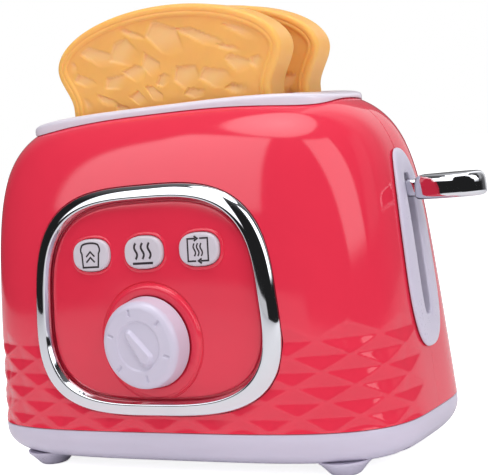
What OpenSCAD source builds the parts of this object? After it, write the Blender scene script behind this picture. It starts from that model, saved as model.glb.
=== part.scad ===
// Toy pop-up toaster with two play slices, a side lever, a front dial and three push buttons.
// Millimetres. X runs to the lever side, Y to the back, Z up. The origin is on the floor, under the
// middle of the body, in the plane where the front and rear shells meet.

/* [Body] */
// Width of the body at its lower edge
body_w = 190; // [176:1:210]
// Depth of the body at its lower edge
body_d = 98.7; // [95:0.1:112]
// Height from the base joint to the crown
body_h = 125.6; // [122:0.1:138]
// Wall of the two moulded shells
wall = 2.2; // [1.8:0.1:2.6]
// How far each end leans in for a millimetre of height
side_lean = 0.055; // [0.02:0.005:0.08]
// Squareness of the plan at the lower edge
plan_low = 3.74; // [3:0.02:4.6]
// Squareness of the plan at the crown
plan_top = 2.92; // [2.6:0.02:3.6]
// How late the two ends turn in towards the crown
end_turn = 8.8; // [7.4:0.1:10]
// How tightly the two ends round over
end_round = 4.3; // [3.8:0.1:5]
// How late the front and back turn in towards the crown
face_turn = 3.3; // [3:0.05:3.8]
// How tightly the front and back round over
face_round = 3.6; // [3.2:0.1:4.2]

/* [Diamond band] */
// Half the width of one diamond, along the body
diamond_w = 11.65; // [9:0.05:14]
// Half the height of one diamond
diamond_h = 5.63; // [4.5:0.01:6.5]
// Rows of half diamonds from the base joint upwards
diamond_rows = 7; // [4:1:8]
// How far each diamond's tip stands out
diamond_tip = 0.9; // [0.3:0.1:1.4]
// Plain strip left beside the side seam
side_strip = 8; // [4:1:14]
// Columns of diamonds left out at each end of the rear band
rear_plain = 3; // [1:1:5]

/* [Base] */
// Height of the four feet
foot_h = 4.7; // [3:0.1:7]
// Radius of a foot where it stands
foot_r = 6; // [4.5:0.1:7]
// Radius of a foot where it joins the base
foot_root_r = 9.5; // [8:0.1:11]
// Feet from the middle, along the body
foot_x = 68; // [62:0.5:71]
// Feet from the middle, across the body
foot_y = 30; // [27:0.5:32]
// Height of the base tray above its feet
base_h = 14; // [12:0.1:17]
// Inward reach of the rounded lower edge
base_round_in = 13; // [9:0.1:15]
// Upward reach of the rounded lower edge
base_round_up = 11; // [8:0.1:11.5]
// Floor of the base tray
base_floor = 2.4; // [1.8:0.1:3]

/* [Front] */
// Middle height of the bright frame
frame_z = 69.3; // [67:0.1:72]
// Half width of the frame's outer edge
frame_out_w = 55; // [52:0.1:58]
// Half height of the frame's outer edge
frame_out_h = 44.3; // [42:0.1:46]
// Half width of the frame's inner edge
frame_in_w = 47.5; // [45:0.1:49]
// Half height of the frame's inner edge
frame_in_h = 38.2; // [36:0.1:39.5]
// Squareness of the frame's outline
frame_square = 3.2; // [2.6:0.1:4]
// Narrowing of the frame for a millimetre of height
frame_taper = 0.0015; // [0:0.0005:0.0025]
// How far the frame stands proud of the body
frame_proud = 2; // [1:0.1:3]
// Thickness of the front panel
panel_t = 2; // [1.6:0.1:2.6]
// Lap of the panel behind the shell
panel_lap = 3.2; // [2:0.1:3.6]

/* [Dial] */
// Height of the dial's axis
dial_z = 53.8; // [50:0.1:55]
// Radius of the dial, at its back
dial_r = 17.7; // [14:0.1:18.5]
// How much smaller the dial is at its front
dial_draft = 0.7; // [0.2:0.1:1.5]
// Depth of the dial, front to back
dial_t = 8.8; // [7.5:0.1:11]
// Outer radius of the raised ring round the dial
dial_ring_r = 22.2; // [21:0.1:24]
// Radius of the dial's shaft
shaft_r = 3; // [2.5:0.1:3.6]

/* [Buttons] */
// Height of the row of buttons
button_z = 88; // [86.5:0.1:89.5]
// Distance between neighbouring buttons
button_pitch = 24.7; // [22:0.1:26]
// Width of a button
button_w = 17.4; // [15:0.1:20]
// Height of a button
button_h = 12.7; // [11:0.1:14.5]
// How far a button stands out of the panel
button_proud = 1.5; // [1.2:0.1:3]
// Travel of a button
button_travel = 1.2; // [0.8:0.1:1.4]

/* [Slot plate] */
// Half length of the slot plate
plate_half_l = 69.5; // [67:0.5:73]
// Half depth of the slot plate
plate_half_d = 27.1; // [26.4:0.1:28.4]
// Squareness of the slot plate's outline
plate_square = 3.9; // [3.7:0.1:4.8]
// Height of the plate's top over the crown, at the middle
plate_over = -1; // [-1.4:0.1:1.5]
// Drop of the arched top at the plate's ends
plate_drop = 2.2; // [1.4:0.1:2.8]
// Thickness of the slot plate
plate_t = 2.4; // [2:0.1:3]
// Length of a bread slot
slot_l = 114; // [112.5:0.5:117]
// Width of a bread slot
slot_w = 16; // [15:0.1:16.6]
// Distance between the middles of the two slots
slot_pitch = 25; // [24.4:0.1:26]

/* [Toast] */
// Half width of a slice across its lobes
toast_lobe = 51; // [49:0.1:52]
// Half width of a slice below its lobes
toast_neck = 45; // [42:0.1:47]
// Height of a slice
toast_h = 100.8; // [96:0.1:106]
// Height of the domed top above the lobes
toast_dome = 20.9; // [17:0.1:24]
// Thickness of a slice
toast_t = 13; // [11:0.1:13.4]
// Depth of the crumb face below the crust
crumb_dip = 1; // [0.4:0.1:1.6]
// How far the rear slice stands to the lever side of the front one
slice_shift = 3; // [0:0.1:3.6]

/* [Lever] */
// Height of the lever's axis when it is up
lever_z = 102; // [100:0.1:104]
// Travel of the lever and the slices
lift_travel = 42; // [38:0.5:43]
// Reach of the lever beyond the side of the body
lever_reach = 31.6; // [28:0.1:34]
// Width of the lever's tab, front to back
lever_w = 14; // [11:0.1:17]
// Thickness of the lever's tab
lever_t = 9.2; // [8:0.1:11]
// Height of the stem in the slot
stem_h = 6.8; // [6.2:0.1:7.4]
// Width of the stem in the slot
stem_w = 5.8; // [5:0.1:6.2]
// Half width of the track plate at its foot
track_low = 14.4; // [12:0.1:16]
// Half width of the track plate at its head
track_top = 10; // [8:0.1:12]
// Height of the track plate's lower end
track_foot_z = 42; // [40:0.1:44]
// Height of the track plate's upper end
track_head_z = 117.5; // [115:0.1:120]
// How far the track plate stands out
track_proud = 2; // [1.2:0.1:2.6]

/* [Inside] */
// Distance of each guide rod from the middle
rod_x = 40; // [38:0.5:42]
// Radius of a guide rod
rod_r = 1.5; // [1.2:0.1:1.8]
// Radius of a return spring, to the middle of its wire
spring_r = 3; // [2.6:0.1:3.2]
// Radius of the spring wire
wire_r = 0.55; // [0.4:0.05:0.6]
// Turns of a return spring
spring_turns = 7; // [5:1:8]
// Radius of an AA cell
cell_r = 7.2; // [7:0.05:7.3]
// Length of an AA cell
cell_l = 50; // [49:0.1:50.5]
// Radius of the speaker
speaker_r = 14; // [11:0.5:15]
// Gap between fixed pieces that are laid together
seat_gap = 0.2; // [0.1:0.05:0.3]
// Gap round pieces that slide
slide_gap = 0.4; // [0.3:0.05:0.5]
// Radial gap of a shaft that turns or a rod that guides
run_gap = 0.05; // [0.03:0.01:0.1]

/* [Hidden] */
$fn = 48;

red = "#e23550";
deep_red = "#d8394e";
lavender = "#d8d3e2";
bright = "#d9dbe2";
crumb = "#eaae66";
pale = "#e9e7ea";
steel = "#9aa0a6";
dark = "#3a3d42";
green = "#2f7d4f";
brass = "#c9a94e";
copper = "#b5763c";

seam_z = foot_h + base_h;
crown_z = seam_z + body_h;

// The body's plan is a rounded rectangle whose squareness changes with height. Its half width and
// half depth both follow a rounded shoulder towards the crown.
function rise(z) = min(1, max(0, (z - seam_z) / body_h));
function shoulder(z, turn, round) = pow(1 - pow(rise(z), turn), 1 / round);
function half_w(z) = (body_w / 2 - side_lean * max(0, z - seam_z)) * shoulder(z, end_turn, end_round);
function half_d(z) = body_d / 2 * shoulder(z, face_turn, face_round);
function squareness(z) = plan_low + (plan_top - plan_low) * rise(z);
function spow(v, e) = sign(v) * pow(abs(v), e);
function around(u, a, b, n) = [a * spow(sin(u), 2 / n), -b * spow(cos(u), 2 / n)];
function section(u, z, grow) =
    let (p = around(u, half_w(z) + grow, half_d(z) + grow, squareness(z)))
    [p[0], p[1], z];
function bow(share, n) = pow(max(0, 1 - pow(min(1, abs(share)), n)), 1 / n);
function front_y(x, z, out) = -(half_d(z) + out) * bow(x / (half_w(z) + out), squareness(z));
function side_x(y, z, out) = (half_w(z) + out) * bow(y / (half_d(z) + out), squareness(z));

// Height of the body's surface over a point of the plan, found by halving
function inside_plan(x, y, z) =
    pow(abs(x) / max(half_w(z), 0.001), squareness(z))
    + pow(abs(y) / max(half_d(z), 0.001), squareness(z)) < 1;
function surface_z(x, y, low = seam_z, high = crown_z, left = 22) =
    left == 0 ? low
    : let (mid = (low + high) / 2)
      inside_plan(x, y, mid) ? surface_z(x, y, mid, high, left - 1)
      : surface_z(x, y, low, mid, left - 1);

// Two triangles of a grid cell, split one way or the other
function cell(a, b, c, d, other) = other ? [[a, b, d], [b, c, d]] : [[a, b, c], [a, c, d]];
// Triangles between two rows of points that may have different counts
function zip(p, q, i = 0, j = 0) =
    i == len(p) - 1 && j == len(q) - 1 ? []
    : j == len(q) - 1 || (i < len(p) - 1 && (i + 1) * (len(q) - 1) <= (j + 1) * (len(p) - 1))
      ? concat([[p[i], p[i + 1], q[j]]], zip(p, q, i + 1, j))
      : concat([[p[i], q[j + 1], q[j]]], zip(p, q, i, j + 1));
function middle(ring) = [for (k = [0:2]) [for (p = ring) p[k]] * [for (p = ring) 1] / len(ring)];

// A closed solid from triangles that all turn the same way; they are turned over when needed
module solid(points, faces) {
    each_volume = [for (f = faces) cross(points[f[0]], points[f[1]]) * points[f[2]]];
    out = each_volume * [for (f = faces) 1] < 0;
    polyhedron(points, out ? faces : [for (f = faces) [f[0], f[2], f[1]]]);
}

// A closed solid through a list of rings, with a fan at each end
module ring_loft(rings) {
    n = len(rings[0]);
    last = (len(rings) - 1) * n;
    tip = len(rings) * n;
    points = concat([for (r = rings) each r], [middle(rings[0]), middle(rings[len(rings) - 1])]);
    bands = [for (r = [0:len(rings) - 2], i = [0:n - 1]) let (a = r * n + i, b = r * n + (i + 1) % n)
        each cell(a, a + n, b + n, b, false)];
    fans = [for (i = [0:n - 1]) each [[i, (i + 1) % n, tip], [last + (i + 1) % n, last + i, tip + 1]]];
    solid(points, concat(bands, fans));
}

// A closed belt: one profile of [share from inner to outer outline, height] carried round two outlines
module belt(profile, inner, outer, place, steps) {
    m = len(profile);
    points = [for (i = [0:steps - 1]) let (v = 360 * i / steps) each
        [for (p = profile) place(inner(v) * (1 - p[0]) + outer(v) * p[0], p[1])]];
    solid(points, [for (i = [0:steps - 1], j = [0:m - 1])
        let (a = i * m, b = (i + 1) % steps * m, k = (j + 1) % m)
        each cell(a + j, b + j, b + k, a + k, false)]);
}

on_front = function(p, out) [p[0], front_y(p[0], p[1], out), p[1]];
on_side = function(p, out) [side_x(p[0], p[1], out), p[0], p[1]];

module rounded_rect(l, w, r) {
    square([l - 2 * r, w], center = true);
    square([l, w - 2 * r], center = true);
    for (sx = [-1, 1], sy = [-1, 1])
        translate([sx * (l / 2 - r), sy * (w / 2 - r)]) circle(r);
}

// Along the front-to-back axis, from a given y towards the front
module forward(x, y, z) {
    translate([x, y, z]) rotate([90, 0, 0]) children();
}

// Diamond columns are spaced by distance along the body, halfway up the band
band_mid = seam_z + diamond_rows * diamond_h / 2;
band_top = seam_z + diamond_rows * diamond_h;
arc_steps = 60;
arc_points = [for (i = [0:arc_steps]) section(90 * i / arc_steps, band_mid, 0)];
arc_length = [for (i = 0, s = 0; i <= arc_steps;
    s = s + (i < arc_steps ? norm(arc_points[i + 1] - arc_points[i]) : 0), i = i + 1) s];
arc_table = [for (i = [0:arc_steps]) [arc_length[i], 90 * i / arc_steps]];
last_col = floor((arc_length[arc_steps] - side_strip) / diamond_w);
col_u = concat([-90],
    [for (k = [-2 * last_col:2 * last_col]) sign(k) * lookup(abs(k) * diamond_w / 2, arc_table)], [90]);
cols = len(col_u);

// Height of the diamond relief at half column k and half row r: flat facets from each tip to its edges
function tip_share(k, r, end) =
    let (m = (k + r) / 4, n = (k - r) / 4, cm = floor(m) + 0.5, cn = floor(n) + 0.5)
    r == 0 || abs(cm + cn) > end - 0.9 || cm - cn > diamond_rows - 0.9 ? 0
    : 1 - 2 * max(abs(m - cm), abs(n - cn));

// The shells end under the slot plate, a lap inside its outline
rim_lap = 1.8;
skirt_gap = 1.6;
function plate_at(u, inset) = around(u, plate_half_l - inset, plate_half_d - inset, plate_square);
function in_plate(p, inset) =
    pow(abs(p[0]) / (plate_half_l - inset), plate_square)
    + pow(abs(p[1]) / (plate_half_d - inset), plate_square) < 1;
function rim_z(u, grow, low = band_top, high = crown_z, left = 22) =
    left == 0 ? low
    : let (mid = (low + high) / 2, over = in_plate(section(u, mid, grow), rim_lap))
      rim_z(u, grow, over ? low : mid, over ? mid : high, left - 1);

upper_rows = 8;
inner_rows = 9;
function eased(share) = 1 - pow(1 - share, 1.7);
function inner_point(u, z) =
    let (p = section(u, z, -wall))
    [p[0], p[1], z - 0.6 * wall * pow(rise(z), 6)];

module half_shell(end) {
    rims = [for (u = col_u) rim_z(u, 0)];
    inner_rims = [for (u = col_u) rim_z(u, -wall)];
    band_rows = 2 * diamond_rows;
    outer = concat(
        [for (r = [0:band_rows]) [for (i = [0:cols - 1])
            let (k = i - 1 - 2 * last_col, seam = i == 0 || i == cols - 1)
            section(col_u[i], seam_z + r * diamond_h / 2, seam ? 0 : diamond_tip * tip_share(k, r, end))]],
        [for (r = [1:upper_rows]) [for (i = [0:cols - 1])
            section(col_u[i], band_top + (rims[i] - band_top) * eased(r / upper_rows), 0)]]);
    inner = [for (r = [0:inner_rows]) [for (i = [0:cols - 1])
        inner_point(col_u[i], seam_z + (inner_rims[i] - seam_z) * eased(r / inner_rows))]];
    rows = len(outer);
    points = concat([for (row = outer) each row], [for (row = inner) each row]);
    start = rows * cols;
    outer_faces = [for (r = [0:rows - 2], i = [0:cols - 2])
        let (a = r * cols + i, k = i - 1 - 2 * last_col, odd = (floor(k / 2) + floor(r / 2)) % 2 != 0)
        each cell(a, a + cols, a + cols + 1, a + 1, odd)];
    inner_faces = [for (r = [0:inner_rows - 1], i = [0:cols - 2]) let (a = start + r * cols + i)
        each cell(a, a + 1, a + cols + 1, a + cols, false)];
    low_out = [for (i = [0:cols - 1]) i];
    low_in = [for (i = [0:cols - 1]) start + i];
    top_out = [for (i = [0:cols - 1]) (rows - 1) * cols + i];
    top_in = [for (i = [0:cols - 1]) start + inner_rows * cols + i];
    left_out = [for (r = [0:rows - 1]) r * cols];
    left_in = [for (r = [0:inner_rows]) start + r * cols];
    right_out = [for (r = [0:rows - 1]) r * cols + cols - 1];
    right_in = [for (r = [0:inner_rows]) start + r * cols + cols - 1];
    solid(points, concat(outer_faces, inner_faces, zip(low_out, low_in), zip(top_in, top_out),
        zip(left_in, left_out), zip(right_out, right_in)));
}

function frame_outline(grow_w, grow_h) = function(v)
    let (q = grow_h * spow(sin(v), 2 / frame_square))
    [grow_w * spow(cos(v), 2 / frame_square) * (1 - frame_taper * q), frame_z + q];

// Screw posts along Y that draw the rear shell to the front shell
post_low = [body_w / 2 - 23, seam_z + 21.3];
post_high = [body_w / 2 - 19, lever_z + 10];
posts = [for (s = [-1, 1]) each [[s * post_low[0], post_low[1]], [s * post_high[0], post_high[1]]]];
post_r = 4;
pilot_r = 1.2;
screw_r = 1.4;
screw_head_r = 2.8;
head_t = 1.8;
post_floor = 3;
function post_y(p) = front_y(abs(p[0]) + post_r, p[1] + post_r, 0) + 0.3 * wall;

// Vertical screw posts that draw the base to the shells, each on a web from the end wall
heel_x = half_w(seam_z) - 8;
heel_y = 20;
heel_h = 17;
heels = [for (sx = [-1, 1], sy = [-1, 1]) [sx * heel_x, sy * heel_y]];

// The lever's slot. The track plate lines it with a collar that goes through the shells
slot_spare = 2;
stem_low_z = lever_z - lift_travel - stem_h / 2 - slide_gap - slot_spare;
stem_high_z = lever_z + stem_h / 2 + slide_gap + slot_spare;
half_slot = stem_w / 2 + slide_gap;
collar_share = 0.1;
collar_side = half_slot + collar_share * (track_low - half_slot);
collar_low_z = stem_low_z - collar_share * (stem_low_z - track_foot_z);
collar_high_z = stem_high_z + collar_share * (track_head_z - stem_high_z);

// The half shell with its share of the lever's slot, cut as one mesh
module slotted_shell(end) {
    side = collar_side + curve_gap;
    resize([0, 0, 0]) difference() {
        translate([0, -seat_gap / 4, 0]) half_shell(end);
        translate([half_w(lever_z) - 8, -side, collar_low_z - curve_gap])
            cube([16, 2 * side, collar_high_z - collar_low_z + 2 * curve_gap]);
    }
}

module shell_body(pilot, end) {
    difference() {
        union() {
            slotted_shell(end);
            for (p = posts)
                forward(p[0], -seat_gap / 2, p[1]) cylinder(r = post_r, h = -seat_gap / 2 - post_y(p));
            for (p = heels) if (p[1] < 0) translate([p[0], p[1], seam_z + seat_gap]) {
                cylinder(r = post_r, h = heel_h);
                translate([p[0] > 0 ? 2 : -7 + wall / 2, -1.2, 0]) cube([5 - wall / 2, 2.4, heel_h]);
            }
        }
        for (p = heels)
            translate([p[0], p[1], seam_z - 1]) cylinder(r = pilot_r, h = heel_h - 1);
        for (p = posts)
            forward(p[0], 1, p[1]) cylinder(r = pilot ? pilot_r : screw_r + 0.1, h = 14);
    }
}

module front_shell() {
    opening = frame_outline(frame_out_w + seat_gap, frame_out_h + seat_gap);
    color(red) difference() {
        shell_body(true, last_col);
        forward(0, -body_d / 2 + 20, 0) linear_extrude(30) polygon([for (i = [0:71]) opening(5 * i)]);
    }
}

module rear_shell() {
    color(red) mirror([0, 1, 0]) difference() {
        shell_body(false, last_col - rear_plain);
        for (p = posts)
            forward(p[0], -post_floor, p[1]) cylinder(r = screw_head_r + 0.4, h = body_d);
    }
}

module shell_screws() {
    color(steel) for (p = posts) forward(p[0], post_floor + head_t, p[1]) {
        cylinder(r = screw_head_r, h = head_t - seat_gap / 4);
        cylinder(r = pilot_r - 0.02, h = head_t + post_floor + 10);
    }
}

// Base tray
tray_w = half_w(seam_z);
tray_d = half_d(seam_z);
tray_cols = 60;
function tray_ring(inset, z) = [for (i = [0:tray_cols - 1])
    let (p = around(-360 * i / tray_cols, tray_w - inset, tray_d - inset, plan_low)) [p[0], p[1], z]];
function tray_edge(q, thick) = tray_ring(
    thick + (base_round_in - thick / 2) * (1 - cos(q)),
    foot_h + (thick > 0 ? base_floor : 0) + (base_round_up - thick / 2) * (1 - sin(q)));

bay_l = cell_l + 10;
bay_w = 4 * cell_r + 5;
bay_wall = 1.6;
door_t = 2.4;
lug_x = bay_l / 2 - 2.6;
cell_z = foot_h + door_t + seat_gap + cell_r;
bay_top = cell_z + cell_r + 0.6;
rod_seat_z = seam_z + 3;
speaker_x = -(rod_x + speaker_r + 8);
speaker_z = foot_h + base_floor;

module base_tray() {
    rim = seam_z - seat_gap;
    color(lavender) difference() {
        union() {
            ring_loft(concat([for (q = [90, 66, 42, 20, 0]) tray_edge(q, 0)],
                [tray_ring(0.1, rim), tray_ring(wall, rim)],
                [for (q = [0, 30, 60, 90]) tray_edge(q, wall)]));
            for (sx = [-1, 1], sy = [-1, 1]) translate([sx * foot_x, sy * foot_y, 0])
                cylinder(r1 = foot_r, r2 = foot_root_r, h = foot_h + base_floor);
            for (sx = [-1, 1]) translate([sx * rod_x, 0, foot_h + base_floor / 2])
                cylinder(r = spring_r + wire_r + 1, h = rod_seat_z - foot_h - base_floor / 2);
            translate([-bay_l / 2 - bay_wall, -bay_w / 2 - bay_wall, foot_h + base_floor / 2])
                cube([bay_l + 2 * bay_wall, bay_w + 2 * bay_wall,
                    bay_top + bay_wall - foot_h - base_floor / 2]);
            for (p = heels) translate([p[0], p[1], foot_h + base_floor + 1.4])
                cylinder(r = post_r - 0.4, h = rim - foot_h - base_floor - 1.4);
        }
        difference() {
            translate([-bay_l / 2, -bay_w / 2, foot_h + door_t])
                cube([bay_l, bay_w, bay_top - foot_h - door_t]);
            translate([lug_x - 2, -2, foot_h + door_t]) cube([8, 4, 7]);
        }
        translate([lug_x, 0, foot_h]) cylinder(r = pilot_r, h = door_t + 6);
        translate([-bay_l / 2 - 1, -bay_w / 2 - 1, foot_h - 1])
            cube([bay_l + 2, bay_w + 2, door_t + 1]);
        for (sx = [-1, 1]) translate([sx * rod_x, 0, foot_h + base_floor])
            cylinder(r = rod_r + 0.02, h = body_h);
        for (p = heels) {
            translate([p[0], p[1], 0]) cylinder(r = screw_r + 0.1, h = seam_z);
            translate([p[0], p[1], 0]) cylinder(r = screw_head_r + 0.2, h = seam_z - 6);
        }
        for (i = [0:6]) let (reach = i > 0 ? 7 : 0)
            translate([speaker_x + reach * cos(60 * i), reach * sin(60 * i), 0])
                cylinder(r = 1.2, h = seam_z);
    }
}

module base_screws() {
    color(steel) for (p = heels) translate([p[0], p[1], seam_z - 6 - head_t]) {
        cylinder(r = screw_head_r, h = head_t - seat_gap / 4);
        cylinder(r = pilot_r - 0.02, h = head_t + 6 + heel_h - 6);
    }
}

module battery_door() {
    color(lavender) difference() {
        translate([-bay_l / 2 - 1 + seat_gap, -bay_w / 2 - 1 + seat_gap, foot_h])
            cube([bay_l + 2 - 2 * seat_gap, bay_w + 2 - 2 * seat_gap, door_t - seat_gap / 2]);
        translate([lug_x, 0, 0]) cylinder(r = screw_r + 0.1, h = foot_h + door_t + 1);
        translate([lug_x, 0, 0]) cylinder(r = 2.5, h = foot_h + 1.3);
    }
}

// The door's screw goes up into a lug inside the bay
module door_screw() {
    color(steel) translate([lug_x, 0, foot_h + 0.2]) {
        cylinder(r = 2.2, h = 1.1 - seat_gap / 4);
        cylinder(r = pilot_r - 0.02, h = door_t + 4.5);
    }
}

module batteries() {
    color(copper) for (s = [-1, 1]) translate([-cell_l / 2 + s * 0.4, s * (cell_r + 0.5), cell_z])
        rotate([0, 90, 0]) {
            cylinder(r = cell_r, h = cell_l - 1.5);
            translate([0, 0, s > 0 ? cell_l - 1.5 : -1.2]) cylinder(r = 2.6, h = 1.2);
        }
}

module battery_contacts() {
    plate = [0.5, cell_r * 1.5, cell_r * 1.5];
    color(brass) for (sx = [-1, 1], sy = [-1, 1])
        translate([sx * (bay_l / 2 - 0.3 - plate[0] / 2), sy * (cell_r + 0.5), cell_z]) {
            cube(plate, center = true);
            rotate([0, -90 * sx, 0]) cylinder(r1 = 4.4, r2 = 2.4, h = 2.4);
        }
}

module speaker() {
    color(dark) translate([speaker_x, 0, speaker_z + seat_gap / 2]) {
        cylinder(r = speaker_r, h = 2);
        cylinder(r1 = speaker_r - 1, r2 = speaker_r * 0.55, h = 5);
        cylinder(r = speaker_r * 0.5, h = 8);
    }
}

// Heights of the lift, from the latch that holds it down up to the slices
latch_drop = 22.8;
latch_at = [22, dial_z - latch_drop];
latch_rise = 8.5;
nose_down_z = latch_at[1] + latch_rise;
shelf_z = nose_down_z + lift_travel;
toast_low_z = shelf_z + seat_gap / 2;
toast_top_z = toast_low_z + toast_h;
well_clear = 14.5;
well_low_z = shelf_z + well_clear;

// Slot plate: a shallow dished cap whose foot follows the crown, with a skirt inside the shells
plate_cols = 64;
skirt_t = 1.4;
skirt_h = 2.5;
plate_top_z = crown_z + plate_over;
function plate_top(x) = plate_top_z - plate_drop * pow(x / plate_half_l, 4);
function plate_ring(inset, height) = [for (i = [0:plate_cols - 1])
    let (p = plate_at(-360 * i / plate_cols, inset)) [p[0], p[1], height(p)]];
function share_ring(share, drop) = [for (i = [0:plate_cols - 1])
    let (p = plate_at(-360 * i / plate_cols, 4) * share) [p[0], p[1], plate_top(p[0]) - drop]];
slot_z = plate_top_z - 8;
slot_ys = [-slot_pitch / 2, slot_pitch / 2];
slot_round = 5;
well_wall = 1.5;
ear_r = 3.4;
ear_x = slot_l / 2 + well_wall + ear_r + seat_gap;
ear_z = crown_z - 17;

module slot_plate() {
    skirt_in = rim_lap + skirt_gap;
    on_crown = function(p) surface_z(p[0], p[1]);
    foot = function(p) on_crown(p) + seat_gap + 0.15;
    skirt = function(p) on_crown(p) - skirt_h;
    side = function(p) (on_crown(p) + plate_top(p[0])) / 2;
    color(lavender) difference() {
        union() {
            ring_loft([share_ring(0.4, plate_t),
                plate_ring(skirt_in + skirt_t + 0.3, function(p) plate_top(p[0]) - plate_t),
                plate_ring(skirt_in + skirt_t, skirt), plate_ring(skirt_in, skirt),
                plate_ring(skirt_in, foot), plate_ring(0, foot), plate_ring(0.1, side),
                plate_ring(0.9, function(p) plate_top(p[0]) - 0.8),
                plate_ring(2.2, function(p) plate_top(p[0]) - 0.1), share_ring(1, 0),
                share_ring(0.5, 0)]);
            for (s = [-1, 1]) translate([s * ear_x, 0, ear_z + seat_gap])
                cylinder(r = ear_r, h = plate_top(ear_x) - 1 - ear_z - seat_gap);
        }
        for (y = slot_ys) translate([0, y, slot_z])
            linear_extrude(20) rounded_rect(slot_l, slot_w, slot_round);
        for (s = [-1, 1]) translate([s * ear_x, 0, ear_z - 1]) cylinder(r = pilot_r, h = 10);
    }
}

// Bread guide: two open wells side by side, with ears for its screws and seats for the rods
well_room = 1.6;
well_high_z = surface_z(slot_l / 2 + well_wall, (slot_pitch + slot_w) / 2 + well_wall) - wall - well_room;
rod_top_z = well_low_z + 6;
ear_t = 2.4;

module bread_guide() {
    color(pale) difference() {
        union() {
            for (y = slot_ys)
                translate([-slot_l / 2 - well_wall, y - slot_w / 2 - well_wall, well_low_z])
                    cube([slot_l + 2 * well_wall, slot_w + 2 * well_wall, well_high_z - well_low_z]);
            for (s = [-1, 1]) {
                translate([s * rod_x - 4, -slot_pitch / 2, well_low_z]) cube([8, slot_pitch, 10]);
                translate([s * ear_x, 0, ear_z - ear_t]) cylinder(r = ear_r + 0.6, h = ear_t);
                translate([s * (slot_l / 2 + 4) - 6, -slot_pitch / 2 - 3, ear_z - ear_t])
                    cube([12, slot_pitch + 6, ear_t]);
            }
        }
        for (y = slot_ys) translate([-slot_l / 2, y - slot_w / 2, well_low_z - 1])
            cube([slot_l, slot_w, well_high_z - well_low_z + 2]);
        for (s = [-1, 1]) {
            translate([s * rod_x, 0, well_low_z - 1]) cylinder(r = rod_r + 0.02, h = 7.5);
            translate([s * ear_x, 0, ear_z - ear_t - 1]) cylinder(r = screw_r + 0.1, h = ear_t + 2);
        }
    }
}

module guide_screws() {
    color(steel) for (s = [-1, 1]) translate([s * ear_x, 0, ear_z - ear_t - head_t]) {
        cylinder(r = screw_head_r, h = head_t - seat_gap / 4);
        cylinder(r = pilot_r - 0.02, h = head_t + ear_t + 7);
    }
}

module guide_rods() {
    color(steel) for (s = [-1, 1]) translate([s * rod_x, 0, foot_h + base_floor + 0.1])
        cylinder(r = rod_r, h = rod_top_z - foot_h - base_floor - 0.1);
}

// Front panel behind the frame, with a ring round the dial and rims round the buttons
// Curved faces that are laid together keep a little more room than flat ones
curve_gap = seat_gap + 0.25;
panel_out = -wall - curve_gap;
pad_up = 1.2;
pad_out = panel_out + pad_up;
backing = panel_t + pad_up;
panel_steps = 48;
function tilt_at(z, out) = atan2(front_y(0, z + 1, out) - front_y(0, z - 1, out), 2);
button_tilt = tilt_at(button_z, pad_out);
board_y = front_y(0, button_z, pad_out);
dial_y = front_y(0, dial_z, pad_out);
bush_h = 7;
button_xs = [-button_pitch, 0, button_pitch];
pin_r = 1.5;

function oval(w, h, n) = [for (i = [0:n - 1])
    let (v = 360 * i / n) [w / 2 * spow(cos(v), 0.8), h / 2 * spow(sin(v), 0.8)]];

// Puts a part on the sloping panel at a button's place, or at the board behind; its z runs inwards
module at_panel(x, y) {
    translate([x, y, button_z]) rotate([-90 - button_tilt, 0, 0]) children();
}
module at_button(x) {
    at_panel(x, front_y(x, button_z, pad_out)) children();
}
module at_board(x) {
    at_panel(x, board_y) children();
}

// Section of the ring round the dial: a flat band with a soft outer edge
ring_root = 1.6;
ring_up = ring_root + 0.7;
dial_ring = [[-4.2, 0], [-4.2, ring_up - 0.2], [-3.9, ring_up], [-1.5, ring_up], [-0.6, ring_up - 0.3],
    [-0.1, ring_up - 0.9], [0, ring_up - 1.5], [0, 0]];
pad_edge = frame_outline(frame_in_w - 0.4, frame_in_h - 0.4);

module front_panel() {
    middle_of = [0, frame_z];
    function ring(w, h, share, out) = let (edge = frame_outline(w, h)) [for (i = [0:panel_steps - 1])
        on_front(middle_of + (edge(-360 * i / panel_steps) - middle_of) * share, out)];
    function pad(inset, share, out) = ring(frame_in_w - inset, frame_in_h - inset, share, out);
    function lap(share, out) = ring(frame_out_w + panel_lap, frame_out_h + panel_lap, share, out);
    color(deep_red) difference() {
        union() {
            ring_loft([pad(1.4, 0.3, pad_out), pad(1.4, 0.65, pad_out), pad(1.4, 1, pad_out),
                pad(0.7, 1, pad_out - 0.25 * pad_up), pad(0.5, 1, panel_out), lap(1, panel_out),
                lap(1, panel_out - panel_t), lap(0.65, panel_out - panel_t),
                lap(0.3, panel_out - panel_t)]);
            forward(0, dial_y + ring_root, dial_z) intersection() {
                rotate_extrude() polygon([for (p = dial_ring) [dial_ring_r + p[0], p[1]]]);
                translate([0, -dial_z, 0]) linear_extrude(2 * ring_root)
                    polygon([for (i = [0:panel_steps - 1]) pad_edge(360 * i / panel_steps)]);
            }
            forward(0, dial_y + backing + bush_h, dial_z) cylinder(r = shaft_r + 2.5, h = bush_h + 1);
            forward(latch_at[0], dial_y + backing + bush_h, latch_at[1])
                cylinder(r = 3.5, h = bush_h + 1);
            for (s = [-1, 1]) at_board(s * board_screw_x)
                translate([0, 0, backing - 0.6])
                    cylinder(r = 3, h = board_depth - seat_gap - backing + 0.6);
        }
        forward(0, dial_y + 20, dial_z) cylinder(r = shaft_r + run_gap, h = 40);
        forward(latch_at[0], dial_y + 20, latch_at[1])
            cylinder(r = pin_r + 0.02, h = 19 - backing + 2);
        for (x = button_xs) at_button(x) translate([0, 0, -4])
            linear_extrude(10) polygon(oval(button_w + 2 * slide_gap, button_h + 2 * slide_gap, 28));
        for (s = [-1, 1]) at_board(s * board_screw_x)
            translate([0, 0, backing + 0.4]) cylinder(r = pilot_r, h = 12);
    }
}

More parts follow.
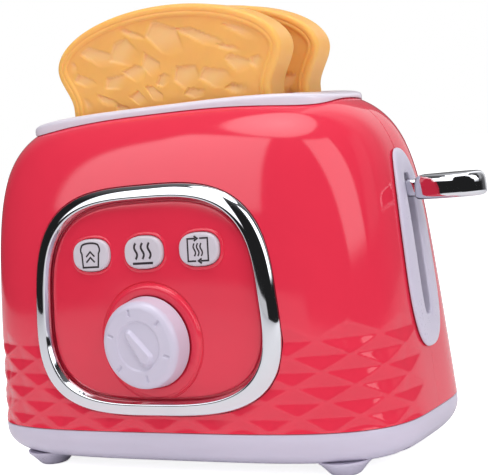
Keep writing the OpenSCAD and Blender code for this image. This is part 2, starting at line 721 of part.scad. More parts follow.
module latch_pin() {
    color(steel) forward(latch_at[0], latch_front_y + latch_t + 1.4, latch_at[1])
        cylinder(r = pin_r, h = latch_t + 1.4 + bush_h);
}

// Bright frame: rises from the panel through the shell's opening to a rounded crest
module chrome_frame() {
    low = panel_out + curve_gap;
    profile = [[0.02, low], [1, low], [1, 0.3], [0.97, 0.5 * frame_proud], [0.86, 0.85 * frame_proud],
        [0.62, frame_proud], [0.3, 0.8 * frame_proud], [0.08, 0.35 * frame_proud], [0, -0.3]];
    color(bright) belt(profile, frame_outline(frame_in_w, frame_in_h),
        frame_outline(frame_out_w, frame_out_h), on_front, 54);
}

// Side track plate: a tapered pill with a collared slot for the lever's stem
function pill(half_low, half_top, z_low, z_top, n) = function(v)
    let (mid = (z_low + z_top) / 2, q = (z_top - z_low) / 2 * spow(sin(v), 2 / n),
        share = (mid + q - z_low) / (z_top - z_low))
    [(half_low + (half_top - half_low) * share) * spow(cos(v), 2 / n), mid + q];

module track_plate() {
    collar_in = -wall - 1.5;
    profile = [[0, collar_in], [collar_share, collar_in], [collar_share, curve_gap], [1, curve_gap],
        [1, 0.55 * track_proud], [0.9, 0.9 * track_proud], [0.72, track_proud], [0.12, track_proud],
        [0, 0.85 * track_proud]];
    color(lavender) belt(profile, pill(half_slot, half_slot, stem_low_z, stem_high_z, 8),
        pill(track_low, track_top, track_foot_z, track_head_z, 4), on_side, 44);
}

// Dial: a turned knob with a hollow ring, a pointer ridge and marks cut in its face
dial_back = 1;
pointer_turn = 45;
dial_disc_r = dial_r * 0.54;
ticks = 6;

module dial() {
    edge = 3.2;
    brow = dial_r - dial_draft - edge;
    arc = [for (i = [0:5]) [brow + edge * cos(18 * i), dial_t - edge + edge * sin(18 * i)]];
    color(lavender) forward(0, dial_y - dial_back, dial_z) difference() {
        union() {
            rotate_extrude() polygon(concat([[0, 0], [dial_r - 1, 0], [dial_r, 1]], arc,
                [[dial_disc_r + 0.8, dial_t], [dial_disc_r + 0.3, dial_t - 0.7],
                [dial_disc_r - 0.3, dial_t - 0.7], [dial_disc_r - 0.9, dial_t - 0.2],
                [0, dial_t - 0.2]]));
            rotate([0, 0, pointer_turn]) translate([0, 0, dial_t - 1]) linear_extrude(2.2)
                polygon(concat([for (i = [0:8]) [0, 6.8] + 1.6 * [cos(22.5 * i), sin(22.5 * i)]],
                    [for (i = [8:16]) [0, -6.1] + 2.5 * [cos(22.5 * i), sin(22.5 * i)]]));
        }
        for (i = [0:ticks - 1]) rotate([0, 0, 360 / ticks * i + 12])
            translate([0, dial_r * 0.72, dial_t - 0.6])
                linear_extrude(2) square([0.9, dial_r * 0.17], center = true);
        translate([0, 0, -1]) cylinder(r = shaft_r + 0.02, h = dial_t - 3);
    }
}

cam_t = 3.6;
cam_front_y = dial_y + backing + bush_h + 0.6;
cam_lobe = 11.6;

module dial_shaft() {
    color(steel) forward(0, cam_front_y + cam_t, dial_z)
        cylinder(r = shaft_r, h = cam_front_y + cam_t - dial_y + dial_back + dial_t - 4.2);
}

// Trip cam: round with one rising lobe that pushes the latch aside
module dial_cam() {
    base = cam_lobe - 3.2;
    color(pale) forward(0, cam_front_y + cam_t, dial_z) difference() {
        linear_extrude(cam_t) polygon([for (i = [0:59])
            (base + 3.2 * pow(max(0, cos(6 * i - 200)), 6)) * [cos(6 * i), sin(6 * i)]]);
        translate([0, 0, -1]) cylinder(r = shaft_r + 0.02, h = cam_t + 2);
    }
}

// Latch: a forked rocker. The left arm follows the cam, the right arm hooks over the carriage's nose
latch_t = 3.4;
latch_front_y = cam_front_y + 0.1;
nose_x = latch_at[0] + 7;
nose_w = 6;
shelf_t = 2.4;

module latch() {
    arm = 3.6;
    x0 = cam_lobe + 1.2;
    hook_x = nose_x + nose_w / 2 + 1.2;
    pivot_z = latch_at[1];
    top = dial_z + 2;
    color(pale) forward(0, latch_front_y + latch_t, 0) difference() {
        union() {
            linear_extrude(latch_t) polygon([[x0, top], [x0 + arm, top], [x0 + arm + 1, pivot_z + 3],
                [hook_x, pivot_z + 3], [hook_x, nose_down_z + 0.5], [hook_x - 2.8, nose_down_z + 0.5],
                [hook_x - 2.8, nose_down_z + 1.6], [hook_x + 0.6, nose_down_z + 6],
                [hook_x + arm, nose_down_z + 4], [hook_x + arm, pivot_z], [hook_x, pivot_z - 4],
                [x0 + arm, pivot_z - 4], [x0, pivot_z]]);
            translate([latch_at[0], latch_at[1], 0]) cylinder(r = 4.4, h = latch_t);
        }
        translate([latch_at[0], latch_at[1], -1]) cylinder(r = pin_r + run_gap, h = latch_t + 2);
    }
}

// Carriage: two shelves on a middle beam that runs on the rods, and an arm out to the lever
bush_r = spring_r + wire_r + 0.4;
bush_low_z = shelf_z - 5.5;
bush_top_z = well_low_z - 0.3;
arm_x = slot_l / 2 + 4;
arm_t = 6;
tongue_h = 4;
tongue_w = 3;
lever_root_x = half_w(lever_z) + track_proud + 2.6;
lever_end_x = half_w(lever_z) + lever_reach;
tongue_end_x = lever_end_x - 9;

module carriage() {
    inner_y = slot_pitch / 2 - toast_t / 2 - 0.8;
    outer_y = slot_pitch / 2 + toast_t / 2 + 0.8;
    shelf_half = toast_neck - 1;
    color(pale) difference() {
        union() {
            for (s = [-1, 1]) {
                translate([-shelf_half, s > 0 ? inner_y : -outer_y, shelf_z - shelf_t])
                    cube([2 * shelf_half, outer_y - inner_y, shelf_t]);
                translate([-shelf_half, s > 0 ? outer_y - 0.2 : -outer_y - 1, shelf_z - shelf_t])
                    cube([2 * shelf_half, 1.2, shelf_t + 4]);
                translate([s * rod_x, 0, bush_low_z]) cylinder(r = bush_r, h = bush_top_z - bush_low_z);
                translate([s * rod_x - 3, -outer_y, bush_low_z])
                    cube([6, 2 * outer_y, shelf_z - shelf_t - bush_low_z]);
            }
            translate([-shelf_half, -2, bush_low_z])
                cube([shelf_half + arm_x, 4, shelf_z - bush_low_z - 0.4]);
            translate([arm_x - 1, -3, bush_low_z]) cube([arm_t, 6, lever_z + 4 - bush_low_z]);
            translate([arm_x, -tongue_w / 2, lever_z - tongue_h / 2])
                cube([tongue_end_x - arm_x, tongue_w, tongue_h]);
            translate([nose_x - nose_w / 2, latch_front_y + 0.8, shelf_z - shelf_t])
                cube([nose_w, -outer_y + 2 - latch_front_y, shelf_t]);
        }
        for (s = [-1, 1]) translate([s * rod_x, 0, bush_low_z - 1])
            cylinder(r = rod_r + run_gap, h = bush_top_z - bush_low_z + 2);
        translate([tongue_end_x - 6, 0, lever_z - 4]) cylinder(r = pilot_r, h = 8);
    }
}

// Lever: a thick tab with a rounded end, on a stem that fits over the carriage's tongue
module lever_handle() {
    steps = 36;
    long = lever_end_x - lever_root_x;
    neck = 0.3;
    function tab_ring(inset, z) = [for (i = [0:steps - 1])
        let (v = -360 * i / steps, c = cos(v), root = c < 0,
            x = (long / 2 - inset) * spow(c, root ? 0.5 : 0.8),
            share = spow(sin(v), root ? 0.35 : 0.9) * (root ? 1 - neck * pow(-c, 0.8) : 1))
        [lever_root_x + long / 2 + x, (lever_w / 2 - inset) * share, z]];
    half = lever_t / 2;
    color(bright) difference() {
        union() {
            ring_loft([tab_ring(3, lever_z - half), tab_ring(1.3, lever_z - half + 0.4),
                tab_ring(0.3, lever_z - half + 1.6), tab_ring(0, lever_z - half + 3),
                tab_ring(0, lever_z + half - 3), tab_ring(0.3, lever_z + half - 1.6),
                tab_ring(1.3, lever_z + half - 0.4), tab_ring(3, lever_z + half)]);
            translate([half_w(lever_z) - 4, -stem_w / 2, lever_z - stem_h / 2])
                cube([lever_root_x + 3 - half_w(lever_z) + 4, stem_w, stem_h]);
        }
        translate([half_w(lever_z) - 5, -tongue_w / 2 - 0.1, lever_z - tongue_h / 2 - 0.1])
            cube([tongue_end_x + 0.2 - half_w(lever_z) + 5, tongue_w + 0.2, tongue_h + 0.2]);
        translate([tongue_end_x - 6, 0, lever_z - lever_t]) cylinder(r = screw_r + 0.1, h = lever_t);
        translate([tongue_end_x - 6, 0, lever_z - lever_t])
            cylinder(r = screw_head_r - 0.4, h = lever_t / 2 + 1.4);
    }
}

// The lever's screw comes up from below, through the tab and into the tongue
module lever_screw() {
    color(steel) translate([tongue_end_x - 6, 0, lever_z - lever_t / 2 + 0.2]) {
        cylinder(r = screw_head_r - 0.6, h = 1.1);
        cylinder(r = pilot_r - 0.02, h = lever_t / 2 + 1);
    }
}

// One slice: a bread outline with a raised crust round a lower crumb face
toast_cols = 40;
lobe_z = toast_top_z - toast_dome;
neck_z = lobe_z - 16;
corner_r = 9;
function toast_side(t) =
    t < 0.15 ? let (q = 90 * t / 0.15)
        [toast_neck - corner_r + corner_r * sin(q), toast_low_z + corner_r * (1 - cos(q))]
    : t < 0.3 ? let (s = (t - 0.15) / 0.15)
        [toast_neck, toast_low_z + corner_r + (neck_z - toast_low_z - corner_r) * s]
    : t < 0.55 ? let (s = (t - 0.3) / 0.25)
        [toast_neck + (toast_lobe - toast_neck) * s * s * (3 - 2 * s), neck_z + (lobe_z - neck_z) * s]
    : let (q = 90 * (t - 0.55) / 0.45) [toast_lobe * cos(q), lobe_z + toast_dome * sin(q)];
toast_right = [for (i = [0:toast_cols / 2 - 1]) toast_side(i / (toast_cols / 2))];
toast_left = [for (i = [toast_cols / 2:-1:1]) let (p = toast_side(i / (toast_cols / 2))) [-p[0], p[1]]];
toast_outline = concat(toast_right, toast_left);
toast_mid_z = (toast_low_z + toast_top_z) / 2;
function toast_ring(inset, y) = [for (p = toast_outline)
    [p[0] * (1 - inset / toast_lobe), y,
        toast_mid_z + (p[1] - toast_mid_z) * (1 - 2 * inset / toast_h)]];

module toast(x, y) {
    half = toast_t / 2;
    faces = [[6.5, half - crumb_dip], [5, half - 0.9 * crumb_dip], [3.6, half - 0.1], [2, half],
        [0.5, half - 1.1], [0, half - 2.8]];
    color(crumb) translate([x, 0, 0]) ring_loft(concat([for (f = faces) toast_ring(f[0], y - f[1])],
        [for (i = [5:-1:0]) toast_ring(faces[i][0], y + faces[i][1])]));
}

module front_toast() { toast(0.5, slot_ys[0]); }
module rear_toast() { toast(0.5 + slice_shift, slot_ys[1]); }

// Push button: an oval cap with a soft edge, a retaining flange and a plunger
flange_t = 1;
flange_z = backing + seat_gap + 0.8;
switch_h = 1.7;
board_depth = flange_z + flange_t + 4;
board_screw_x = button_pitch * 1.5 + 2.6;
plunger_end = board_depth - switch_h - button_travel - 0.5;

module button(x) {
    function cap_ring(inset, z) =
        [for (p = oval(button_w - 2 * inset, button_h - 2 * inset, 28)) [p[0], p[1], z]];
    color(pale) at_button(x) {
        ring_loft([cap_ring(2, -button_proud), cap_ring(0.8, -button_proud + 0.2),
            cap_ring(0, -button_proud + 1), cap_ring(0, flange_z)]);
        translate([0, 0, flange_z - 0.1]) linear_extrude(flange_t + 0.1)
            polygon(oval(button_w + 2.4, button_h + 2.4, 28));
        translate([0, 0, flange_z]) cylinder(r = 2, h = plunger_end - flange_z);
    }
}

module left_button() { button(button_xs[0]); }
module middle_button() { button(button_xs[1]); }
module right_button() { button(button_xs[2]); }

board_w = 2 * board_screw_x + 7;
board_h = 10;
board_t = 1.6;

module button_board() {
    color(green) at_board(0) difference() {
        translate([-board_w / 2, -board_h / 2, board_depth]) cube([board_w, board_h, board_t]);
        for (s = [-1, 1]) translate([s * board_screw_x, 0, board_depth - 1])
            cylinder(r = screw_r, h = board_t + 2);
    }
}

module tact_switches() {
    color(dark) for (x = button_xs) at_board(x) translate([0, 0, board_depth - 0.1]) {
        mirror([0, 0, 1]) translate([-3, -3, 0]) cube([6, 6, 1.4]);
        mirror([0, 0, 1]) cylinder(r = 1.4, h = switch_h - 0.1);
    }
}

module board_screws() {
    color(steel) for (s = [-1, 1]) at_board(s * board_screw_x) {
        translate([0, 0, board_depth + board_t + seat_gap / 4]) cylinder(r = 2.4, h = 1.4);
        translate([0, 0, backing + 1])
            cylinder(r = pilot_r - 0.02, h = board_depth + board_t - backing);
    }
}

// Return springs: one unbroken wire coiled round each rod, under the carriage
ring_sides = 6;
rings_per_turn = 8;
spring_low_z = rod_seat_z + wire_r + 0.1;
spring_high_z = bush_low_z - wire_r - 0.1;
wire_rings = spring_turns * rings_per_turn;
function wire_mid(i) = let (a = 360 * i / rings_per_turn)
    [spring_r * cos(a), spring_r * sin(a),
        spring_low_z + (spring_high_z - spring_low_z) * i / wire_rings];
function wire_ring(i) = let (a = 360 * i / rings_per_turn) [for (j = [0:ring_sides - 1])
    let (b = 360 * j / ring_sides)
    wire_mid(i) + wire_r * (cos(b) * [cos(a), sin(a), 0] + sin(b) * [0, 0, 1])];

coil_gap = (spring_high_z - spring_low_z - lift_travel) / spring_turns - 2 * wire_r;
echo(coil_gap_when_pressed = coil_gap);

module spring(x) {
    color(steel) translate([x, 0, 0]) ring_loft([for (i = [0:wire_rings]) wire_ring(i)]);
}

module left_spring() { spring(-rod_x); }
module right_spring() { spring(rod_x); }

base_tray();
front_shell();
rear_shell();
slot_plate();
bread_guide();
front_panel();
chrome_frame();
track_plate();
guide_rods();
latch_pin();
button_board();
tact_switches();
board_screws();
speaker();
batteries();
battery_contacts();
battery_door();
door_screw();
base_screws();
shell_screws();
guide_screws();
left_spring();
right_spring();
carriage();
lever_handle();
lever_screw();
front_toast();
rear_toast();
dial();
dial_shaft();
dial_cam();
left_button();
middle_button();
right_button();
latch();
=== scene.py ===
"""Looks of a toy pop-up toaster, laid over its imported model.

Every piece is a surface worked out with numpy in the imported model's own frame, in metres: X runs to the
lever side, Y to the back, Z up, and the floor is at zero. The body's outline
follows the formulas of the solids.
"""

import math

import bpy
import numpy as np
from mathutils import Matrix, Vector


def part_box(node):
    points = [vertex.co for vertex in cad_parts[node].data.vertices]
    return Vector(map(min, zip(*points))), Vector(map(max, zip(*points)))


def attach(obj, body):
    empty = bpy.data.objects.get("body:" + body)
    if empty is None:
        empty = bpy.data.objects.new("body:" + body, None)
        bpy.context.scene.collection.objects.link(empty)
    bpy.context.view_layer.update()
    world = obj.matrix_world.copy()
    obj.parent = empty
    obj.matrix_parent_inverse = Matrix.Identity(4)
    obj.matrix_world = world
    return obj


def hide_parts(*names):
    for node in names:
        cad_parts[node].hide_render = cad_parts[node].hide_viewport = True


bl_info = {
    "name": "Toy toaster",
    "version": (1, 0, 0),
    "blender": (4, 5, 0),
    "location": "3D View > Sidebar > Toaster",
    "description": "Builds the visible surfaces of a toy pop-up toaster over its packed model",
    "category": "Object",
}

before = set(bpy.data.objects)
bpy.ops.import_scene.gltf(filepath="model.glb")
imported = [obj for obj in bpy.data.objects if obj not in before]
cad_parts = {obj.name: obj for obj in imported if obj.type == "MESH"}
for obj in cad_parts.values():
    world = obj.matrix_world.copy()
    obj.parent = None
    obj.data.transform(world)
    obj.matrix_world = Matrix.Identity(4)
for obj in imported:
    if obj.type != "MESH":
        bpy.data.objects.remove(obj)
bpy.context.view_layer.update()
MM = 0.001
TAU = 2 * math.pi


# Sizes and colours


def length(mm, label, note):
    """A length property, given in millimetres and kept in metres."""
    return bpy.props.FloatProperty(
        name=label, description=note, default=mm * MM, unit="LENGTH", subtype="DISTANCE", precision=5
    )


def number(value, label, note):
    """A plain number property."""
    return bpy.props.FloatProperty(name=label, description=note, default=value)


def count(value, label, note):
    """A whole number property."""
    return bpy.props.IntProperty(name=label, description=note, default=value)


def colour(rgb, label, note):
    """A colour property from sRGB bytes, kept linear."""
    linear = [(c / 255 / 12.92) if c <= 10 else ((c / 255 + 0.055) / 1.055) ** 2.4 for c in rgb]
    return bpy.props.FloatVectorProperty(
        name=label, description=note, default=linear, size=3, subtype="COLOR", min=0, max=1
    )


class ToasterBody(bpy.types.PropertyGroup):
    """Sizes of the moulded body"""

    width: length(190, "Width", "Width at the lower edge")
    depth: length(98.7, "Depth", "Depth at the lower edge")
    height: length(125.6, "Height", "Height from the base joint to the crown")
    seam_height: length(18.7, "Base joint", "Height of the joint between base and body")
    wall: length(2.2, "Wall", "Wall of the shells")
    lean: number(0.055, "Lean", "How far each end leans in for each unit of height")
    plan_low: number(3.74, "Lower squareness", "Squareness of the plan at the lower edge")
    plan_top: number(2.92, "Upper squareness", "Squareness of the plan at the crown")
    end_turn: number(8.8, "End turn", "How late the ends turn in towards the crown")
    end_round: number(4.3, "End round", "How tightly the ends round over")
    face_turn: number(3.3, "Face turn", "How late the front and back turn in")
    face_round: number(3.6, "Face round", "How tightly the front and back round over")
    diamond_w: length(11.65, "Diamond half width", "Half the width of one diamond, along the body")
    diamond_h: length(5.63, "Diamond half height", "Half the height of one diamond")
    diamond_depth: length(0.9, "Diamond depth", "How deep a diamond's point is sunk")
    diamond_rows: count(7, "Diamond rows", "Rows of half diamonds")
    side_strip: length(8, "Side strip", "Plain strip beside the side seam")
    rear_plain: count(3, "Rear plain columns", "Columns left out at each end of the rear band")
    foot_height: length(4.7, "Foot height", "Height of the feet")
    seam_groove: length(0.25, "Seam groove", "Bevel of the shells' meeting edges")
    plate_half_l: length(70.2, "Plate half length", "Half length of the slot plate")
    plate_half_d: length(27.1, "Plate half depth", "Half depth of the slot plate")
    plate_square: number(4.4, "Plate squareness", "Squareness of the slot plate's outline")
    plate_over: length(-1, "Plate level", "Height of the plate's top over the crown")
    plate_drop: length(3.2, "Plate drop", "Drop of the arched top at the plate's ends")
    slot_l: length(114, "Slot length", "Length of a bread slot")
    slot_w: length(16, "Slot width", "Width of a bread slot")
    slot_pitch: length(25, "Slot pitch", "Distance between the middles of the slots")


class ToasterFront(bpy.types.PropertyGroup):
    """Sizes of the frame, panel, dial and buttons"""

    middle: length(69.3, "Middle", "Middle height of the frame")
    out_w: length(55, "Outer half width", "Half width of the frame's outer edge")
    out_h: length(44.3, "Outer half height", "Half height of the frame's outer edge")
    in_w: length(47.5, "Inner half width", "Half width of the frame's inner edge")
    in_h: length(38.2, "Inner half height", "Half height of the frame's inner edge")
    square: number(3.2, "Squareness", "Squareness of the frame's outline")
    taper: number(1.5, "Taper", "Narrowing for a metre of height")
    pad_out: length(-1.45, "Panel level", "Level of the panel's face against the body")
    dial_z: length(53.8, "Dial height", "Height of the dial's axis")
    dial_r: length(17.7, "Dial radius", "Radius of the dial at its back")
    dial_draft: length(0.7, "Dial draft", "How much smaller the dial is at its front")
    dial_t: length(8.8, "Dial depth", "Depth of the dial")
    dial_gap: length(1, "Dial gap", "Gap behind the dial")
    ring_r: length(22.2, "Ring radius", "Outer radius of the raised ring round the dial")
    button_z: length(88, "Button height", "Height of the row of buttons")
    button_pitch: length(24.7, "Button pitch", "Distance between neighbouring buttons")
    button_w: length(17.4, "Button width", "Width of a button")
    button_h: length(12.7, "Button depth", "Height of a button")
    button_proud: length(1.5, "Button proud", "How far a button stands out of the panel")


class ToasterColours(bpy.types.PropertyGroup):
    """Colours of the finishes"""

    shell: colour((228, 52, 76), "Shell", "Red of the shells")
    panel: colour((225, 50, 74), "Panel", "Red of the front panel")
    pale: colour((204, 198, 217), "Pale", "Lavender white of base, dial and track")
    plate: colour((224, 217, 230), "Plate", "Lavender white of the slot plate")
    chrome: colour((214, 215, 221), "Chrome", "Bright plating")
    crumb: colour((244, 182, 99), "Crumb", "Face of the toast")
    crust: colour((246, 184, 100), "Crust", "Rim of the toast")
    button: colour((204, 196, 206), "Button", "Caps of the buttons")
    print_ink: colour((34, 22, 30), "Print", "Dark print on the buttons")


# Shape formulas of the body


def signed_power(v, e):
    """The value's size raised to e, with its sign kept."""
    return np.sign(v) * np.abs(v) ** e


def turns(steps):
    """Even steps once round a circle."""
    return np.arange(steps) * TAU / steps


def run_along(points):
    """Distance run along a line of points, from 0 at the first."""
    return np.concatenate([[0], np.cumsum(np.linalg.norm(np.diff(points, axis=0), axis=1))])


def rise(b, z):
    """Share of the way from the base joint to the crown, from 0 to 1."""
    return np.clip((z - b.seam_height) / b.height, 0.0, 1.0)


def half_width(b, z):
    """Half the width at height z: a leaning side times a rounded shoulder (1 - rise^turn)^(1/round)."""
    side = b.width / 2 - b.lean * np.maximum(0.0, z - b.seam_height)
    return side * (1 - rise(b, z) ** b.end_turn) ** (1 / b.end_round)


def half_depth(b, z):
    """Half the depth at height z, with its own rounded shoulder."""
    return b.depth / 2 * (1 - rise(b, z) ** b.face_turn) ** (1 / b.face_round)


def squareness(b, z):
    """Exponent of the plan's superellipse, which softens towards the crown."""
    return b.plan_low + (b.plan_top - b.plan_low) * rise(b, z)


def oval_point(u, a, c, n):
    """Point of a superellipse of half sizes a and c: (a sin^(2/n) u, -c cos^(2/n) u), u = 0 at the front."""
    return a * signed_power(np.sin(u), 2 / n), -c * signed_power(np.cos(u), 2 / n)


def body_point(b, u, z, grow=0.0):
    """Point of the body's surface at turn u and height z, moved out by grow."""
    x, y = oval_point(u, half_width(b, z) + grow, half_depth(b, z) + grow, squareness(b, z))
    return np.stack(np.broadcast_arrays(x, y, z), -1)


def bow(share, n):
    """(1 - share^n)^(1/n), the superellipse's other half size."""
    return np.maximum(0.0, 1 - np.minimum(1.0, np.abs(share)) ** n) ** (1 / n)


def on_front(b, p, out):
    """Places points (x, z) on the front of the body, at a level out of its surface."""
    x, z = p[..., 0], p[..., 1]
    y = -(half_depth(b, z) + out) * bow(x / (half_width(b, z) + out), squareness(b, z))
    return np.stack([x, y, z], -1)


def on_side(b, p, out):
    """Places points (y, z) on the lever side of the body, at a level out of its surface."""
    y, z = p[..., 0], p[..., 1]
    x = (half_width(b, z) + out) * bow(y / (half_depth(b, z) + out), squareness(b, z))
    return np.stack([x, y, z], -1)


def crown_height(b, x, y):
    """Height of the body's surface over plan points, found by halving for all of them at once."""
    low = np.full(np.shape(x), b.seam_height)
    high = np.full(np.shape(x), b.seam_height + b.height)
    for _ in range(40):
        mid = (low + high) / 2
        n = squareness(b, mid)
        a, c = np.maximum(half_width(b, mid), 1e-6), np.maximum(half_depth(b, mid), 1e-6)
        inside = np.abs(x / a) ** n + np.abs(y / c) ** n < 1
        low, high = np.where(inside, mid, low), np.where(inside, high, mid)
    return low


def plate_point(b, u, inset):
    """Plan point of the slot plate's outline, drawn in by inset."""
    return oval_point(u, b.plate_half_l - inset, b.plate_half_d - inset, b.plate_square)


def rim_height(b, u, grow, inset):
    """Height at which each column of the body passes under the slot plate's outline, by halving."""
    low = np.full(u.shape, b.seam_height + 0.4 * b.height)
    high = np.full(u.shape, b.seam_height + b.height)
    for _ in range(40):
        mid = (low + high) / 2
        p = body_point(b, u, mid, grow)
        share = np.abs(p[:, 0] / (b.plate_half_l - inset)) ** b.plate_square
        share = share + np.abs(p[:, 1] / (b.plate_half_d - inset)) ** b.plate_square
        low, high = np.where(share < 1, low, mid), np.where(share < 1, mid, high)
    return low


def plate_top(b, x):
    """Height of the plate's arched top, which falls with the fourth power of x."""
    return b.seam_height + b.height + b.plate_over - b.plate_drop * (x / b.plate_half_l) ** 4


def frame_outline(f, grow_w, grow_h):
    """Outline (x, z) of the frame for a turn v: a superellipse that narrows upwards."""

    def outline(v):
        q = grow_h * signed_power(np.sin(v), 2 / f.square)
        x = grow_w * signed_power(np.cos(v), 2 / f.square) * (1 - f.taper * q)
        return np.stack([x, f.middle + q], -1)

    return outline


def pill_outline(half_low, half_top, z_low, z_top, n):
    """Outline (y, z) of an upright pill whose half width changes evenly from its foot to its head."""

    def outline(v):
        q = signed_power(np.sin(v), 2 / n)
        half = half_low + (half_top - half_low) * (q + 1) / 2
        z = (z_low + z_top + (z_top - z_low) * q) / 2
        return np.stack([half * signed_power(np.cos(v), 2 / n), z], -1)

    return outline


# Meshes


def grid_faces(rows, cols, wrap_cols=False, wrap_rows=False):
    """Corner numbers of the quads of a grid, stored row by row."""
    r, c = np.mgrid[0 : rows if wrap_rows else rows - 1, 0 : cols if wrap_cols else cols - 1]
    up, on = (r + 1) % rows, (c + 1) % cols
    return np.stack([r * cols + c, r * cols + on, up * cols + on, up * cols + c], -1).reshape(-1, 4)


def signed_volume(points, faces):
    """Six times the volume inside the faces, positive when they point outwards."""
    total = 0.0
    for f in faces:
        for k in range(1, f.shape[1] - 1):
            total += np.einsum("ij,ij->", points[f[:, 0]], np.cross(points[f[:, k]], points[f[:, k + 1]]))
    return total


class Skin:
    """Closed surfaces gathered for one piece, each turned to face outwards."""

    def __init__(self):
        self.points, self.faces, self.count, self.tags = [], [], 0, []

    def add(self, points, faces, tag=None):
        """Adds one closed surface: its points, and lists of its quads and triangles."""
        points = points.reshape(-1, 3)
        outward = signed_volume(points - points.mean(0), faces) > 0
        self.faces += [(f if outward else f[:, ::-1]) + self.count for f in faces]
        self.points.append(points)
        self.tags.append(np.zeros(len(points)) if tag is None else np.ravel(tag))
        self.count += len(points)
        return self

    def slab(self, outer, inner):
        """Two grids of the same shape, closed along their four edges."""
        rows, cols = outer.shape[:2]
        top = grid_faces(rows, cols)
        edge = np.concatenate(
            [
                np.arange(cols - 1),
                np.arange(rows - 1) * cols + cols - 1,
                (rows - 1) * cols + np.arange(cols - 1, 0, -1),
                np.arange(rows - 1, 0, -1) * cols,
            ]
        )
        ahead = np.roll(edge, -1)
        far = rows * cols
        side = np.stack([ahead, edge, edge + far, ahead + far], -1)
        points = np.concatenate([outer.reshape(-1, 3), inner.reshape(-1, 3)])
        return self.add(points, [top, top[:, ::-1] + far, side])

    def rings(self, rings, tag=None):
        """Closed rings in a row, with a fan of triangles over the first and the last."""
        rows, cols = rings.shape[:2]
        i = np.arange(cols)
        on = (i + 1) % cols
        last = (rows - 1) * cols
        fans = [
            np.stack([on, i, np.full(cols, rows * cols)], -1),
            np.stack([last + i, last + on, np.full(cols, rows * cols + 1)], -1),
        ]
        points = np.concatenate([rings.reshape(-1, 3), rings[:1].mean(1), rings[-1:].mean(1)])
        tags = None if tag is None else np.concatenate([np.repeat(tag, cols), tag[:1], tag[-1:]])
        return self.add(points, [grid_faces(rows, cols, True)] + fans, tags)

    def belt(self, grid):
        """A profile carried round a closed path: a grid that wraps both ways."""
        return self.add(grid, [grid_faces(*grid.shape[:2], True, True)])

    def mesh(self, name):
        """A Blender mesh of everything gathered, with its tags as the attribute 'tint'."""
        mesh = bpy.data.meshes.new(name)
        faces = [row for f in self.faces for row in f.tolist()]
        mesh.from_pydata(np.concatenate(self.points).tolist(), [], faces)
        mesh.attributes.new("tint", "FLOAT", "POINT").data.foreach_set("value", np.concatenate(self.tags))
        return mesh


def turned(skin, profile, place, steps):
    """Adds a turned solid: profile rows (radius, height), carried round by place(x, y, height)."""
    v = turns(steps)
    r, h = np.asarray(profile).T
    ring = place(r[:, None] * np.cos(v), r[:, None] * np.sin(v), np.repeat(h[:, None], steps, 1))
    return skin.rings(ring)


def smooth_profile(points, count, passes):
    """A profile through the given corners, evenly resampled, with its corners softened by averaging."""
    p = np.asarray(points, float)
    run = run_along(p)
    at = np.linspace(0, run[-1], count)
    q = np.stack([np.interp(at, run, p[:, k]) for k in range(p.shape[1])], -1)
    for _ in range(passes):
        q[1:-1] = (q[:-2] + 2 * q[1:-1] + q[2:]) / 4
    return q


def banded(inner, outer, section):
    """A closed section along two outlines, as its path between them and its levels in metres.

    Each row of the section is a share of the way from the inner to the outer outline, and a level in
    millimetres. Its last row closes it and is left out.
    """
    w, level = section[:-1].T
    return inner[:, None] * (1 - w[:, None]) + outer[:, None] * w[:, None], level * MM


def link_object(name, data):
    """A new object of the scene for a mesh, a lamp or a camera."""
    piece = bpy.data.objects.new(name, data)
    bpy.context.scene.collection.objects.link(piece)
    return piece


def carved(name, skin, cuts):
    """The piece's mesh less the cutting solids if there are any, by a Boolean modifier that is applied."""
    piece = link_object(name, skin.mesh(name))
    if cuts is None:
        return piece
    tool = link_object(name + "_cut", cuts.mesh(name + "_cut"))
    cut = piece.modifiers.new("Cut", "BOOLEAN")
    cut.operation, cut.solver, cut.object = "DIFFERENCE", "EXACT", tool
    shaped = bpy.data.meshes.new_from_object(piece.evaluated_get(bpy.context.evaluated_depsgraph_get()))
    piece.modifiers.clear()
    piece.data = shaped
    bpy.data.objects.remove(tool)
    if len(shaped.polygons) < 100:
        raise RuntimeError(name + " lost its surface when it was cut")
    return piece


def make_piece(name, skin, finish, body, nodes, cuts=None, sharp=40):
    """Carves and shades a piece, gives it its finish, ties it to its body and hides the solids that it stands
    for.
    """
    piece = carved(name, skin, cuts)
    piece.data.shade_smooth()
    piece.data.set_sharp_from_angle(angle=math.radians(sharp))
    piece.data.materials.clear()
    piece.data.materials.append(finishes()[finish])
    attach(piece, body)
    if nodes:
        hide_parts(*nodes)
    return piece


# Finishes


class Wire:
    """A node's output, with arithmetic that adds Math nodes."""

    def __init__(self, finish, socket):
        self.finish, self.socket = finish, socket

    def math(self, operation, *others):
        """This value and the others through one Math node."""
        inputs = dict(enumerate((self,) + others))
        return self.finish.node("ShaderNodeMath", {"operation": operation}, inputs)

    def __add__(self, other):
        return self.math("ADD", other)

    __radd__ = __add__

    def __sub__(self, other):
        return self.math("SUBTRACT", other)

    def __rsub__(self, other):
        return (self * -1.0) + other

    def __mul__(self, other):
        return self.math("MULTIPLY", other)

    __rmul__ = __mul__

    def above(self, level, soft):
        """0 below the level and 1 above it, with a soft step between."""
        sockets = {"Value": self, "From Min": level - soft, "From Max": level + soft}
        return self.finish.node("ShaderNodeMapRange", {"interpolation_type": "SMOOTHSTEP"}, sockets)


